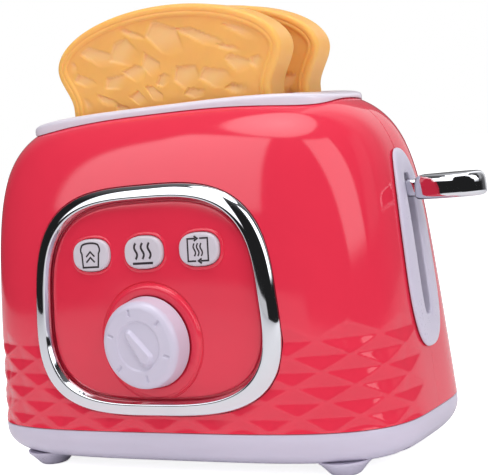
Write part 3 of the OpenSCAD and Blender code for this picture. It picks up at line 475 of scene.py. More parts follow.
class Finish:
    """A material under construction, or a world if it is kept in that store."""

    def __init__(self, name, store=None):
        self.owner = (bpy.data.materials if store is None else store).new(name)
        self.owner.use_nodes = True
        self.tree = self.owner.node_tree
        self.tree.nodes.clear()

    def node(self, kind, settings=None, sockets=None, output=0):
        """Adds a node: its settings first, then its sockets' values or links. Returns one output."""
        made = self.tree.nodes.new(kind)
        for key, value in (settings or {}).items():
            setattr(made, key, value)
        for key, value in (sockets or {}).items():
            if isinstance(value, Wire):
                self.tree.links.new(value.socket, made.inputs[key])
            else:
                made.inputs[key].default_value = value
        return Wire(self, made.outputs[output]) if made.outputs else None

    def place(self):
        """Object coordinates, in metres."""
        return self.node("ShaderNodeTexCoord", output="Object")

    def noise(self, scale, detail, rough, warp=0.0, at=None):
        """Noise of so many waves a metre."""
        sockets = {"Vector": at or self.place(), "Scale": scale, "Detail": detail, "Roughness": rough}
        return self.node("ShaderNodeTexNoise", {}, {**sockets, "Distortion": warp})

    def tint(self, name="tint"):
        """A value stored on the mesh."""
        return self.node("ShaderNodeAttribute", {"attribute_name": name}, output="Fac")

    def mix(self, share, one, other):
        """Colour one where share is 0, and the other where it is 1."""
        return self.node("ShaderNodeMix", {"data_type": "RGBA"}, {0: share, 6: one, 7: other}, 2)

    def bump(self, height, strength, reach):
        """A bumped normal from a height."""
        return self.node("ShaderNodeBump", {}, {"Height": height, "Strength": strength, "Distance": reach})

    def done(self, **sockets):
        """Joins a Principled BSDF with these sockets to the output."""
        named = {key.replace("_", " ").title().replace("Ior", "IOR"): value for key, value in sockets.items()}
        shader = self.node("ShaderNodeBsdfPrincipled", {}, named)
        self.node("ShaderNodeOutputMaterial", {}, {"Surface": shader})
        return self.owner


def opaque(rgb, gain=1.0):
    """A colour socket's value, lighter or darker by gain."""
    return tuple(min(1.0, c * gain) for c in rgb) + (1.0,)


def moulded(name, rgb, rough, spread, grain, coat=0.0):
    """Moulded plastic: flow marks in the colour, gloss that varies with them and with scuffs, orange peel."""
    m = Finish(name)
    flow = m.noise(26, 3, 0.55, 0.6)
    scuff = m.noise(900, 2, 0.7)
    peel = m.noise(420, 2, 0.5)
    return m.done(
        base_color=m.mix(flow.above(0.5, 0.3), opaque(rgb, 1 - spread), opaque(rgb, 1 + spread)),
        roughness=(flow - 0.5) * 0.08 + (scuff - 0.5) * 0.1 + rough,
        normal=m.bump(peel, grain, 0.0004),
        coat_weight=coat,
        coat_roughness=0.06,
        specular_ior_level=0.5,
    )


def plated(name, rgb):
    """Plated plastic: a mirror with a very faint wave, and haze in patches."""
    m = Finish(name)
    haze = m.noise(60, 3, 0.6)
    wave = m.noise(95, 1, 0.4)
    return m.done(
        base_color=m.mix(haze.above(0.55, 0.2), opaque(rgb), opaque(rgb, 0.96)),
        metallic=1.0,
        roughness=haze.above(0.6, 0.25) * 0.05 + 0.03,
        normal=m.bump(wave, 0.02, 0.0008),
    )


def baked(name, crumb, crust):
    """Toast-coloured plastic: patchy on the crumb, painted paler in its pits as a painted highlight, and
    plain on the crust.
    """
    m = Finish(name)
    patch = m.noise(45, 4, 0.6, 0.4)
    speck = m.noise(700, 3, 0.7)
    face = m.mix(patch.above(0.5, 0.25), opaque(crumb, 0.94), opaque(crumb, 1.05))
    rim = m.tint()
    hollow = m.tint("hollow")
    # Painted highlight: the pits' floors are painted paler and bluer, standing in for light that falls on
    # them
    pale = tuple(min(1.0, c * gain) for c, gain in zip(crumb, (1.03, 1.16, 1.72))) + (1.0,)
    tone = m.mix(hollow.above(0.3, 0.3), face, pale)
    return m.done(
        base_color=m.mix(rim, tone, opaque(crust)),
        roughness=(patch - 0.5) * 0.12 + (speck - 0.5) * 0.1 + 0.42,
        normal=m.bump(speck, 0.05, 0.0003),
        subsurface_weight=0.6,
        subsurface_scale=0.008,
        subsurface_radius=(1.0, 0.5, 0.15),
    )


def inked(name, rgb):
    """Pad-printed ink with small thin places."""
    m = Finish(name)
    thin = m.noise(1500, 3, 0.6)
    return m.done(
        base_color=m.mix(thin.above(0.7, 0.1), opaque(rgb), opaque(rgb, 1.6)),
        roughness=(thin - 0.5) * 0.2 + 0.4,
    )


def drawn_steel(name, rgb, rough=0.28):
    """Drawn metal: fine streaks along Z in its colour, gloss and surface."""
    m = Finish(name)
    stretch = m.node("ShaderNodeMapping", {}, {"Vector": m.place(), "Scale": (4.0, 4.0, 0.3)})
    streak = m.noise(500, 3, 0.7, 0.0, stretch)
    return m.done(
        base_color=m.mix(streak, opaque(rgb, 0.8), opaque(rgb, 1.1)),
        metallic=1.0,
        roughness=(streak - 0.5) * 0.25 + rough,
        normal=m.bump(streak, 0.05, 0.0002),
    )


def circuit(name):
    """Green circuit board with paler tracks along the edges of small cells."""
    m = Finish(name)
    cell = {"Vector": m.place(), "Scale": 330.0, "Randomness": 0.15}
    track = m.node("ShaderNodeTexVoronoi", {"feature": "DISTANCE_TO_EDGE"}, cell)
    line = 1 - track.above(0.12, 0.03)
    return m.done(
        base_color=m.mix(line, (0.012, 0.11, 0.045, 1), (0.05, 0.26, 0.1, 1)),
        roughness=0.35 - line * 0.1,
        normal=m.bump(line, 0.1, 0.0001),
    )


def wrapped(name):
    """Cell wrapper: a dark band and a copper-coloured end, lengthwise along X."""
    m = Finish(name)
    x = m.node("ShaderNodeSeparateXYZ", {}, {"Vector": m.place()}, 0)
    rub = m.noise(300, 3, 0.6)
    return m.done(
        base_color=m.mix(x.above(0.008, 0.0003), (0.02, 0.02, 0.025, 1), (0.5, 0.22, 0.07, 1)),
        metallic=0.6,
        roughness=(rub - 0.5) * 0.2 + 0.3,
    )


FINISHES = {}


def finishes():
    """All finishes by name, made once."""
    if not FINISHES:
        c = bpy.context.scene.toaster_colours
        FINISHES.update(
            shell=moulded("shell_red", c.shell, 0.09, 0.03, 0.008),
            panel=moulded("panel_red", c.panel, 0.1, 0.03, 0.008),
            pale=moulded("pale_lavender", c.pale, 0.3, 0.02, 0.004, 0.1),
            plate=moulded("plate_lavender", c.plate, 0.3, 0.02, 0.004, 0.1),
            button=moulded("button_grey", c.button, 0.3, 0.02, 0.004),
            inner=moulded("inner_white", (0.72, 0.71, 0.72), 0.45, 0.04, 0.05),
            dark=moulded("dark_plastic", (0.02, 0.02, 0.024), 0.4, 0.2, 0.06),
            chrome=plated("bright_plating", c.chrome),
            toast=baked("toast_plastic", c.crumb, c.crust),
            ink=inked("button_print", c.print_ink),
            steel=drawn_steel("plain_steel", (0.56, 0.57, 0.6)),
            brass=drawn_steel("contact_brass", (0.78, 0.58, 0.24), 0.3),
            board=circuit("green_board"),
            cell=wrapped("cell_wrap"),
        )
    return FINISHES

# Operators

# Middles (x, z) of the screw wells in the rear shell, and the radius of their bores
WELLS = [(s * x, z) for s in (-1, 1) for x, z in ((72 * MM, 40 * MM), (76 * MM, 112 * MM))]
WELL_BORE = 3.2 * MM


class TOASTER_OT_shells(bpy.types.Operator):
    """Builds the front and rear shells with their band of sunk diamonds"""

    bl_idname = "toaster.shells"
    bl_label = "Shells"

    # Grid steps along half a diamond, and the exponent that softens the edges between its faces
    fine, face_square = 8, 18
    # Rows of the grid over the band, and how much closer together they come near the crown
    upper_rows, crowding = 56, 1.7
    # Rows over which the diamonds fade in from the base joint
    joint_fade = 0.4
    # Height at which the groove along the side seam begins and over which it deepens, and its depth in bevels
    groove_from, groove_fade, groove_deep = 114 * MM, 3 * MM, 1.2
    # How much lower the inside lies at the crown, in walls, and the exponent by which it gets there
    roof_drop, roof_power = 0.6, 6
    # How far the shells reach in under the slot plate's edge, and half the gap between them
    under_plate, half_gap = 1.8 * MM, 0.04 * MM
    # Opening for the lever's stem along X, Y and Z
    stem_slot = np.array([(80, 100), (-4.6, 4.6), (52.2, 109.8)]) * MM
    # Clearance round the frame, and the reach along Y of the cuts for the frame and for the wells
    frame_gap, frame_cut, well_cut = 0.2 * MM, (-70 * MM, -30 * MM), (3 * MM, 60 * MM)

    def columns(self, b):
        """Turn and distance number of each column: even steps along the body halfway up the band."""
        turn = np.linspace(0, math.pi / 2, 2000)
        line = body_point(b, turn, np.full(turn.shape, b.seam_height + b.diamond_rows * b.diamond_h / 2))
        run = run_along(line)
        last = math.floor((run[-1] - b.side_strip) / b.diamond_w)
        p = np.linspace(0, last, last * self.fine + 1)
        end = run[-1] / b.diamond_w
        strip = np.linspace(last, end - b.seam_groove / b.diamond_w, self.fine + 1)[1:]
        half = np.concatenate([p, strip, [end]])
        p = np.concatenate([-half[:0:-1], half])
        return np.sign(p) * np.interp(np.abs(p) * b.diamond_w, run, turn), p, last

    def relief(self, b, p, q, last):
        """Depth share of the diamonds at column p and row q: 1 at a point, falling evenly to 0 at the edges.

        Along the pattern's two slopes m and n it is 1 - 2 (|m - cm|^e + |n - cn|^e)^(1/e) round (cm, cn).
        """
        m, n = (p + q) / 2, (p - q) / 2
        cm, cn = np.floor(m) + 0.5, np.floor(n) + 0.5
        e = self.face_square
        reach = (np.abs(m - cm) ** e + np.abs(n - cn) ** e) ** (1 / e)
        kept = (np.abs(cm + cn) < last - 0.5) & (cm - cn < b.diamond_rows - 0.5)
        return np.where(kept, np.maximum(0, 1 - 2 * reach), 0) * np.clip(q / self.joint_fade, 0, 1)

    def half_shell(self, b, side):
        """Outer and inner grids of one shell: diamond rows, then rows that rise to the slot plate's foot."""
        u, p, last = self.columns(b)
        q = np.linspace(0, b.diamond_rows, b.diamond_rows * self.fine + 1)
        lift = 1 - (1 - np.linspace(0, 1, self.upper_rows + 1)[1:]) ** self.crowding
        band = b.seam_height + q[:, None] * b.diamond_h + 0 * u
        top = band[-1]
        high = top + (rim_height(b, u, 0.0, self.under_plate) - top) * lift[:, None]
        end = last if side < 0 else last - b.rear_plain
        dips = -b.diamond_depth * self.relief(b, p[None, :], q[:, None], end)
        groove = np.clip((high - self.groove_from) / self.groove_fade, 0, 1)
        groove *= self.groove_deep * b.seam_groove
        groove[:, 1:-1] = 0
        outer = np.concatenate([body_point(b, u, band, dips), body_point(b, u, high, -groove)])
        under = rim_height(b, u, -b.wall, self.under_plate)
        climb = (outer[:, :, 2] - b.seam_height) / (outer[-1, :, 2] - b.seam_height)
        z = b.seam_height + (under - b.seam_height) * climb
        inner = body_point(b, u, z, -b.wall)
        inner[..., 2] -= self.roof_drop * b.wall * rise(b, z) ** self.roof_power
        for grid in (outer, inner):
            grid[..., 1] = side * (np.abs(grid[..., 1]) + self.half_gap)
        return outer, inner

    def execute(self, context):
        b, f = context.scene.toaster_body, context.scene.toaster_front
        edge = frame_outline(f, f.out_w + self.frame_gap, f.out_h + self.frame_gap)(turns(240))
        corner = np.stack(np.meshgrid(*self.stem_slot, indexing="ij"), -1)
        for side, name in ((-1, "front_shell"), (1, "rear_shell")):
            skin, cuts = Skin(), Skin()
            skin.slab(*self.half_shell(b, side))
            cuts.rings(corner[:, [0, 1, 1, 0], [0, 0, 1, 1]])
            if side < 0:
                cuts.rings(np.stack([np.insert(edge, 1, y, axis=1) for y in self.frame_cut]))
            else:
                for x, z in WELLS:
                    bore = [(WELL_BORE, y) for y in self.well_cut]
                    turned(cuts, bore, lambda a, c, h: np.stack([x + a, h, z + c], -1), 32)
            make_piece(name + "_skin", skin, "shell", "housing", [name], cuts)
        return {"FINISHED"}


class TOASTER_OT_screw_wells(bpy.types.Operator):
    """Builds the tubes behind the rear shell's screw holes"""

    bl_idname = "toaster.screw_wells"
    bl_label = "Screw wells"

    # Radii of the screw's hole and of the tube, and front and back of the seat between them
    hole_r, tube_r, seat = 1.5 * MM, 4 * MM, (0.2 * MM, 3 * MM)
    # How far the tube ends under the shell's surface
    sunk = 0.7 * MM

    def execute(self, context):
        b = context.scene.toaster_body
        skin, v = Skin(), turns(48)
        front, back = self.seat
        for x, z in WELLS:
            wall = -on_front(b, np.array([abs(x) + self.tube_r, z + self.tube_r]), 0.0)[1] - self.sunk
            bored = [(self.hole_r, back), (WELL_BORE, back), (WELL_BORE, wall)]
            r, h = np.array(bored + [(self.tube_r, wall), (self.tube_r, front), (self.hole_r, front)]).T
            across, up = r * np.cos(v)[:, None], r * np.sin(v)[:, None]
            skin.belt(np.stack([x + across, h + 0 * across, z + up], -1))
        make_piece("rear_screw_wells", skin, "shell", "housing", [])
        return {"FINISHED"}


class TOASTER_OT_base(bpy.types.Operator):
    """Builds the base tray with its rounded lower edge and four feet"""

    bl_idname = "toaster.base"
    bl_label = "Base tray"

    # Reach of the rounded lower edge, inwards and upwards
    round_in, round_up = 13 * MM, 11 * MM
    # Gap under the shells, and the upper edge: inset and level in millimetres
    joint_gap, lip = 0.2 * MM, ((0, -0.6), (0.15, -0.15), (0.5, 0), (2.2, 0))
    # Inside of the tray: inset and height over its underside, in millimetres
    inside = ((2.4, 12), (15, 3.2))
    # Half sizes, squareness and depth of the battery door's recess
    door_half, door_square, door_depth = (31 * MM, 17.9 * MM), 60, 2.6 * MM
    # A foot's section from its sole upwards: radius and height in millimetres
    foot_section = [(0.2, 0), (5.3, 0), (6.0, 0.5), (9.3, 4.2), (10.4, 4.9), (10.6, 6)]
    # Places of the feet and of the screw holes from the middle, and a screw hole's radius and depth
    foot_at, screw_at, screw_hole = (68 * MM, 30 * MM), (87 * MM, 20 * MM), (3 * MM, 12.7 * MM)
    # Middle and radius of the ring of speaker holes, and one hole's radius and depth
    speaker_x, speaker_ring, speaker_hole = -62 * MM, 7 * MM, (1.2 * MM, 9 * MM)

    def drill(self, cuts, x, y, hole, steps):
        """Adds a round cut of (radius, depth) that comes up from below the feet."""
        radius, depth = hole
        turned(cuts, [(radius, -MM), (radius, depth)], lambda a, c, h: np.stack([x + a, y + c, h], -1), steps)

    def execute(self, context):
        b = context.scene.toaster_body
        skin, cuts = Skin(), Skin()
        v = turns(288)

        def oval(inset, z):
            """The body's plan at its lower edge, drawn in by inset, at height z."""
            x, y = oval_point(v, b.width / 2 - inset, b.depth / 2 - inset, b.plan_low)
            return np.stack([x, y, np.full(v.shape, z)], -1)

        def door(z):
            """The door's outline at height z."""
            x, y = oval_point(v, *self.door_half, self.door_square)
            return np.stack([x, y, np.full(v.shape, z)], -1)

        foot, rim = b.foot_height, b.seam_height - self.joint_gap
        opening, flat = door(foot), oval(self.round_in, foot)
        rows = [door(foot + self.door_depth), opening]
        rows += [opening + (flat - opening) * s for s in (0.3, 0.6, 0.9)]
        for t in np.linspace(math.pi / 2, 0, 15):
            rows.append(oval(self.round_in * (1 - math.cos(t)), foot + self.round_up * (1 - math.sin(t))))
        rows += [oval(i * MM, rim + h * MM) for i, h in self.lip]
        rows += [oval(i * MM, foot + h * MM) for i, h in self.inside]
        skin.rings(np.stack(rows))
        sole = smooth_profile(self.foot_section, 40, 3) * MM
        for sx in (-1, 1):
            for sy in (-1, 1):
                x, y = sx * self.foot_at[0], sy * self.foot_at[1]
                turned(skin, sole, lambda a, c, h: np.stack([x + a, y + c, h], -1), 72)
                self.drill(cuts, sx * self.screw_at[0], sy * self.screw_at[1], self.screw_hole, 32)
        for k in range(7):
            turn, out = k * TAU / 6, self.speaker_ring if k else 0.0
            x, y = self.speaker_x + out * math.cos(turn), out * math.sin(turn)
            self.drill(cuts, x, y, self.speaker_hole, 24)
        make_piece("base_tray_skin", skin, "pale", "housing", ["base_tray"], cuts)
        return {"FINISHED"}


class TOASTER_OT_slot_plate(bpy.types.Operator):
    """Builds the arched plate with the two bread slots"""

    bl_idname = "toaster.slot_plate"
    bl_label = "Slot plate"

    # Thickness of the plate, and the inset of its flat part, in millimetres
    thick, flat_inset = 2.4, 4
    # Foot in the shells' opening: inset and level over the body, in millimetres
    foot = ((4.7, -2.5), (3.4, -2.5), (3.4, 0.3), (0.25, 0.3), (0.05, 0.5))
    # Ends of the outer wall over the body and under the top, in millimetres
    wall_low, wall_top = 0.35, 1.1
    # Outer wall: inset in millimetres, and share of the way between those ends
    wall = ((0, 0.3), (0, 0.75), (0.06, 0.95))
    # Rounded upper edge: inset and depth under the top, in millimetres
    brow = ((0.25, 0.7), (0.6, 0.36), (1.1, 0.13), (1.8, 0.02), (3, 0))
    # A slot's walls and rounded mouth: growth and height in millimetres, arched above the given height
    mouth = ((0, 125), (0, 139.8), (0.25, 141.5), (0.9, 142.7), (1.9, 143.8), (2.2, 150))
    arched_from, slot_square = 139, 9

    def execute(self, context):
        b = context.scene.toaster_body
        u = turns(320)

        def ring(inset, height):
            """The plate's outline drawn in by inset, at height(x, y)."""
            x, y = plate_point(b, u, inset * MM)
            return np.stack([x, y, height(x, y)], -1)

        def lowered(drop):
            """Height under the arched top."""
            return lambda x, y: plate_top(b, x) - drop * MM

        def raised(lift):
            """Height over the body's surface."""
            return lambda x, y: crown_height(b, x, y) + lift * MM

        def between(share):
            """Height a share of the way from the wall's foot to its top."""
            low, high = raised(self.wall_low), lowered(self.wall_top)
            return lambda x, y: low(x, y) * (1 - share) + high(x, y) * share

        def flat(share, drop):
            """A ring of the flat part, shrunk to a share, under the arched top."""
            x, y = (share * p for p in plate_point(b, u, self.flat_inset * MM))
            return np.stack([x, y, lowered(drop)(x, y)], -1)

        rows = [flat(s, self.thick) for s in (0.3, 0.6, 0.93)]
        rows += [ring(i, raised(h)) for i, h in self.foot]
        rows += [ring(i, between(s)) for i, s in self.wall]
        rows += [ring(i, lowered(d)) for i, d in self.brow]
        rows += [flat(s, 0) for s in (0.97, 0.75, 0.5, 0.25)]
        skin, cuts = Skin().rings(np.stack(rows)), Skin()
        for side in (-1, 1):
            rows = []
            for grow, z in self.mouth:
                x, y = oval_point(u, b.slot_l / 2 + grow * MM, b.slot_w / 2 + grow * MM, self.slot_square)
                dip = (plate_top(b, 0.0) - plate_top(b, x)) * (z > self.arched_from)
                rows.append(np.stack([x, side * b.slot_pitch / 2 + y, z * MM - dip], -1))
            cuts.rings(np.stack(rows))
        make_piece("slot_plate_skin", skin, "plate", "housing", ["slot_plate"], cuts)
        return {"FINISHED"}


class TOASTER_OT_front(bpy.types.Operator):
    """Builds the bright frame and the panel inside it, with the ring round the dial and the button rims"""

    bl_idname = "toaster.front"
    bl_label = "Frame and panel"

    # The frame's section: share of the way from its inner to its outer edge, and level in millimetres
    frame_section = [
        (0.02, -2.2), (1.0, -2.2), (1.0, -0.1), (0.97, 0.4), (0.9, 0.9), (0.78, 1.4), (0.6, 1.77),
        (0.4, 1.96), (0.27, 2.0), (0.2, 1.85), (0.07, 0.2), (0.03, -0.6), (0.02, -2.2),
    ]
    # The panel's face and rounded edge: inset from the frame, and depth, in millimetres
    face_inset, panel_edge = 1.6, ((1.2, 0.05), (0.9, 0.18), (0.72, 0.4), (0.68, 0.7), (0.68, 1.2))
    # The panel's lap behind the frame, and the depths of the lap and of the back, in millimetres
    lap_out, lap_depth, back_depth = 3.2, 1.2, 3.2
    # Height over the buttons from which the panel runs straight on
    straight_from = 7 * MM
    # Radius of the shaft's hole and its reach along Y, and clearance and reach of the buttons' holes
    shaft_r, shaft_cut, button_gap, button_cut = 3.3 * MM, (-70 * MM, -30 * MM), 0.15, (6 * MM, -8 * MM)
    # The dial's ring: distance from its edge, and the way back from the panel, in millimetres
    ring_section = [
        (-4.4, 1.2), (-4.4, -0.45), (-4.15, -0.7), (-1.6, -0.7), (-0.8, -0.5), (-0.3, 0), (0, 0.6),
        (0, 1.6), (-4.4, 1.6), (-4.4, 1.2),
    ]
    # The groove outside the ring: distance from the ring's edge, and level on the panel, in millimetres
    groove_section = [(-0.9, 1.2), (0.3, -0.4), (0.5, -0.4), (2.4, 1.2)]
    # A button's rim: distance from the button, and level, in millimetres
    rim_section = [(0.16, -0.6), (0.16, 0.05), (0.4, 0.22), (0.9, 0.2), (1.5, -0.1), (1.5, -0.6)]

    def round_dial(self, f, section):
        """A section carried round the dial's axis: x, z and level of each point, in metres."""
        v = turns(240)[:, None]
        r, level = np.asarray(section).T * MM
        r = f.ring_r + r
        return r * np.cos(v), f.dial_z + r * np.sin(v), level + 0 * v

    def panel_rows(self, b, f):
        """Rings of the panel: face, rounded edge, lap behind the frame and back."""
        v = turns(300)
        middle, pad = np.array([0, f.middle]), f.pad_out / MM

        def ring(inset, share, out):
            """One ring of the panel, which leaves the body's bow and runs straight on over the buttons."""
            edge = frame_outline(f, f.in_w - inset * MM, f.in_h - inset * MM)(v)
            p = middle + (edge - middle) * share
            bent = np.minimum(p, [1.0, f.button_z + self.straight_from])
            here, below = on_front(b, bent, out * MM), on_front(b, bent - [0, MM], out * MM)
            over = p[:, 1] - bent[:, 1]
            return np.stack([p[:, 0], here[:, 1] + (here[:, 1] - below[:, 1]) * over / MM, p[:, 1]], -1)

        def lap(share, depth):
            """One ring behind the frame, shrunk to a share and on the body's bow."""
            edge = frame_outline(f, f.out_w + self.lap_out * MM, f.out_h + self.lap_out * MM)(v)
            return on_front(b, middle + (edge - middle) * share, (pad - depth) * MM)

        rows = [ring(self.face_inset, s, pad) for s in (0.05, 0.15, 0.3, 0.45, 0.6, 0.75, 0.88, 1.0)]
        rows += [ring(i, 1, pad - d) for i, d in self.panel_edge]
        return rows + [lap(1, self.lap_depth)] + [lap(s, self.back_depth) for s in (1, 0.6, 0.3, 0.05)]

    def execute(self, context):
        b, f = context.scene.toaster_body, context.scene.toaster_front
        spots = button_spots(b, f)
        edges = [frame_outline(f, w, h)(turns(300)) for w, h in ((f.in_w, f.in_h), (f.out_w, f.out_h))]
        path, level = banded(*edges, smooth_profile(self.frame_section, 90, 3))
        skin = Skin().belt(on_front(b, path, level))
        make_piece("chrome_frame_skin", skin, "chrome", "housing", ["chrome_frame"], sharp=60)

        skin, cuts = Skin().rings(np.stack(self.panel_rows(b, f))), Skin()
        shaft = [(self.shaft_r, y) for y in self.shaft_cut]
        turned(cuts, shaft, lambda x, y, h: np.stack([x, h, f.dial_z + y], -1), 48)
        for spot in spots:
            cuts.rings(np.stack([spot.oval(self.button_gap, h) for h in self.button_cut]))
        x, z, level = self.round_dial(f, self.groove_section)
        cuts.belt(on_front(b, np.stack([x, z], -1), f.pad_out + level))
        make_piece("front_panel_skin", skin, "panel", "housing", ["front_panel"], cuts)

        x, z, level = self.round_dial(f, smooth_profile(self.ring_section, 40, 1)[:-1])
        start = on_front(b, np.array([0, f.dial_z]), f.pad_out)[1]
        trim = Skin().belt(np.stack([x, start + level, z], -1))
        for spot in spots:
            rim = smooth_profile(self.rim_section, 16, 1)
            trim.belt(np.stack([spot.oval(g, h * MM) for g, h in rim], 1))
        make_piece("panel_trim", trim, "panel", "housing", [])
        return {"FINISHED"}


class ButtonSpot:
    """One button's place on the sloping panel, with its right, up and outward directions."""

    def __init__(self, b, f, x):
        self.size = (f.button_w / 2, f.button_h / 2)
        spot = on_front(b, np.array([[x, f.button_z], [0, f.button_z + MM], [0, f.button_z - MM]]), f.pad_out)
        tilt = math.atan2(spot[1, 1] - spot[2, 1], 2 * MM)
        self.middle = spot[0]
        self.up = np.array([0, math.sin(tilt), math.cos(tilt)])
        self.out = np.array([0, -math.cos(tilt), math.sin(tilt)])
        self.right = np.array([1.0, 0, 0])

    def at(self, x, y, h):
        """Points at x to the right, y up the panel and h out of it."""
        x, y, h = np.broadcast_arrays(x, y, h)
        return self.middle + x[..., None] * self.right + y[..., None] * self.up + h[..., None] * self.out

    def oval(self, grow, h):
        """The button's outline, a superellipse grown by so many millimetres, at height h out of the panel."""
        v = turns(120)
        x, y = (signed_power(wave(v), 0.8) for wave in (np.cos, np.sin))
        return self.at((self.size[0] + grow * MM) * x, (self.size[1] + grow * MM) * y, np.full(v.shape, h))


def button_spots(b, f):
    """The three places of the buttons, left to right."""
    return [ButtonSpot(b, f, k * f.button_pitch) for k in (-1, 0, 1)]


def wavy_line(x, low, high, sway):
    """An upright wavy line: x plus sway times the sine of one and a bit turns."""
    t = np.linspace(0, 1, 40)
    return np.stack([x + sway * np.sin((t * 1.05 - 0.02) * TAU), high + (low - high) * t], -1)


def button_marks():
    """Strokes of the three marks, as (points in mm, width in mm) in each button's own plane."""
    side = np.array([(-3.6, -4.7), (-4.0, 0.6), (-4.5, 1.5), (-4.5, 2.6), (-4.0, 3.6)])
    arc = np.linspace(math.pi, 0, 24)
    dome = np.stack([4.0 * np.cos(arc), 3.6 + 1.1 * np.sin(arc)], -1)
    slice_line = np.concatenate([side, dome[1:-1], side[::-1] * [-1, 1], side[:1], side[:1] + [0, 0.3]])
    lift = [(slice_line, 0.72)]
    lift += [([(-2.0, z - 1.9), (0, z), (2.0, z - 1.9)], 0.68) for z in (1.3, -0.9)]
    heat = [(wavy_line(x, -2.6, 3.6, -0.62), 0.9) for x in (-3.1, 0, 3.1)]
    heat += [([(-4.6, -4.2), (4.6, -4.2)], 0.9)]
    again = [
        ([(-0.9, -4.4), (-4.4, -4.4), (-4.4, 4.0), (-1.0, 4.0)], 0.66),
        ([(0.9, 4.0), (4.4, 4.0), (4.4, -4.4), (1.0, -4.4)], 0.66),
    ]
    again += [(wavy_line(x, -2.6, 2.2, -0.45), 0.62) for x in (-1.5, 0, 1.5)]
    again += [([(-1.5, 4.9), (-0.1, 4.0), (-1.5, 3.1)], 0.7), ([(1.5, -5.3), (0.1, -4.4), (1.5, -3.5)], 0.7)]
    return [lift, heat, again]


class TOASTER_OT_buttons(bpy.types.Operator):
    """Builds the three push buttons and the marks printed on them"""

    bl_idname = "toaster.buttons"
    bl_label = "Buttons"

    # A cap's section: distance out of its outline and level against its top, in millimetres
    cap_section = [(-6, 0), (-1.1, 0), (-0.5, -0.12), (-0.12, -0.45), (0, -0.9), (0, -5.5)]
    # The flange behind the panel: distance out of the outline and level against the panel, in millimetres
    flange = [(1.2, -4.0), (1.2, -5.0), (-4, -5.0)]
    # The plunger: radius and level against the panel
    plunger = np.array([(2, -4.6), (2, -5.6)]) * MM
    # How far the print stands over the cap's top, and reaches into it
    print_over, print_under = 0.03 * MM, 0.1 * MM

    def stroke(self, skin, spot, points, width, height):
        """A printed line: a thin slab as wide as the pen along a path, with mitred corners."""
        p = np.asarray(points, float)
        d = np.diff(p, axis=0)
        d = d / np.linalg.norm(d, axis=1)[:, None]
        n = np.stack([-d[:, 1], d[:, 0]], -1)
        both = np.concatenate([n[:1], n[:-1] + n[1:], n[-1:]])
        first = np.concatenate([n[:1], n])
        both = both / np.maximum(0.5, np.einsum("ij,ij->i", both, first))[:, None]
        x, y = np.moveaxis(np.stack([p - both * width / 2, p + both * width / 2], 1) * MM, -1, 0)
        skin.slab(spot.at(x, y, height + self.print_over), spot.at(x, y, height - self.print_under))

    def execute(self, context):
        b, f = context.scene.toaster_body, context.scene.toaster_front
        names = ("left_button", "middle_button", "right_button")
        top = f.button_proud
        edge = smooth_profile(self.cap_section, 60, 2) + [0, top / MM]
        for name, spot, marks in zip(names, button_spots(b, f), button_marks()):
            skin = Skin().rings(np.stack([spot.oval(g, h * MM) for g, h in list(edge) + self.flange]))
            turned(skin, self.plunger, spot.at, 32)
            make_piece(name + "_cap", skin, "button", name, [name])
            ink = Skin()
            for points, width in marks:
                self.stroke(ink, spot, points, width, top)
            make_piece(name + "_mark", ink, "ink", name, [])
        return {"FINISHED"}


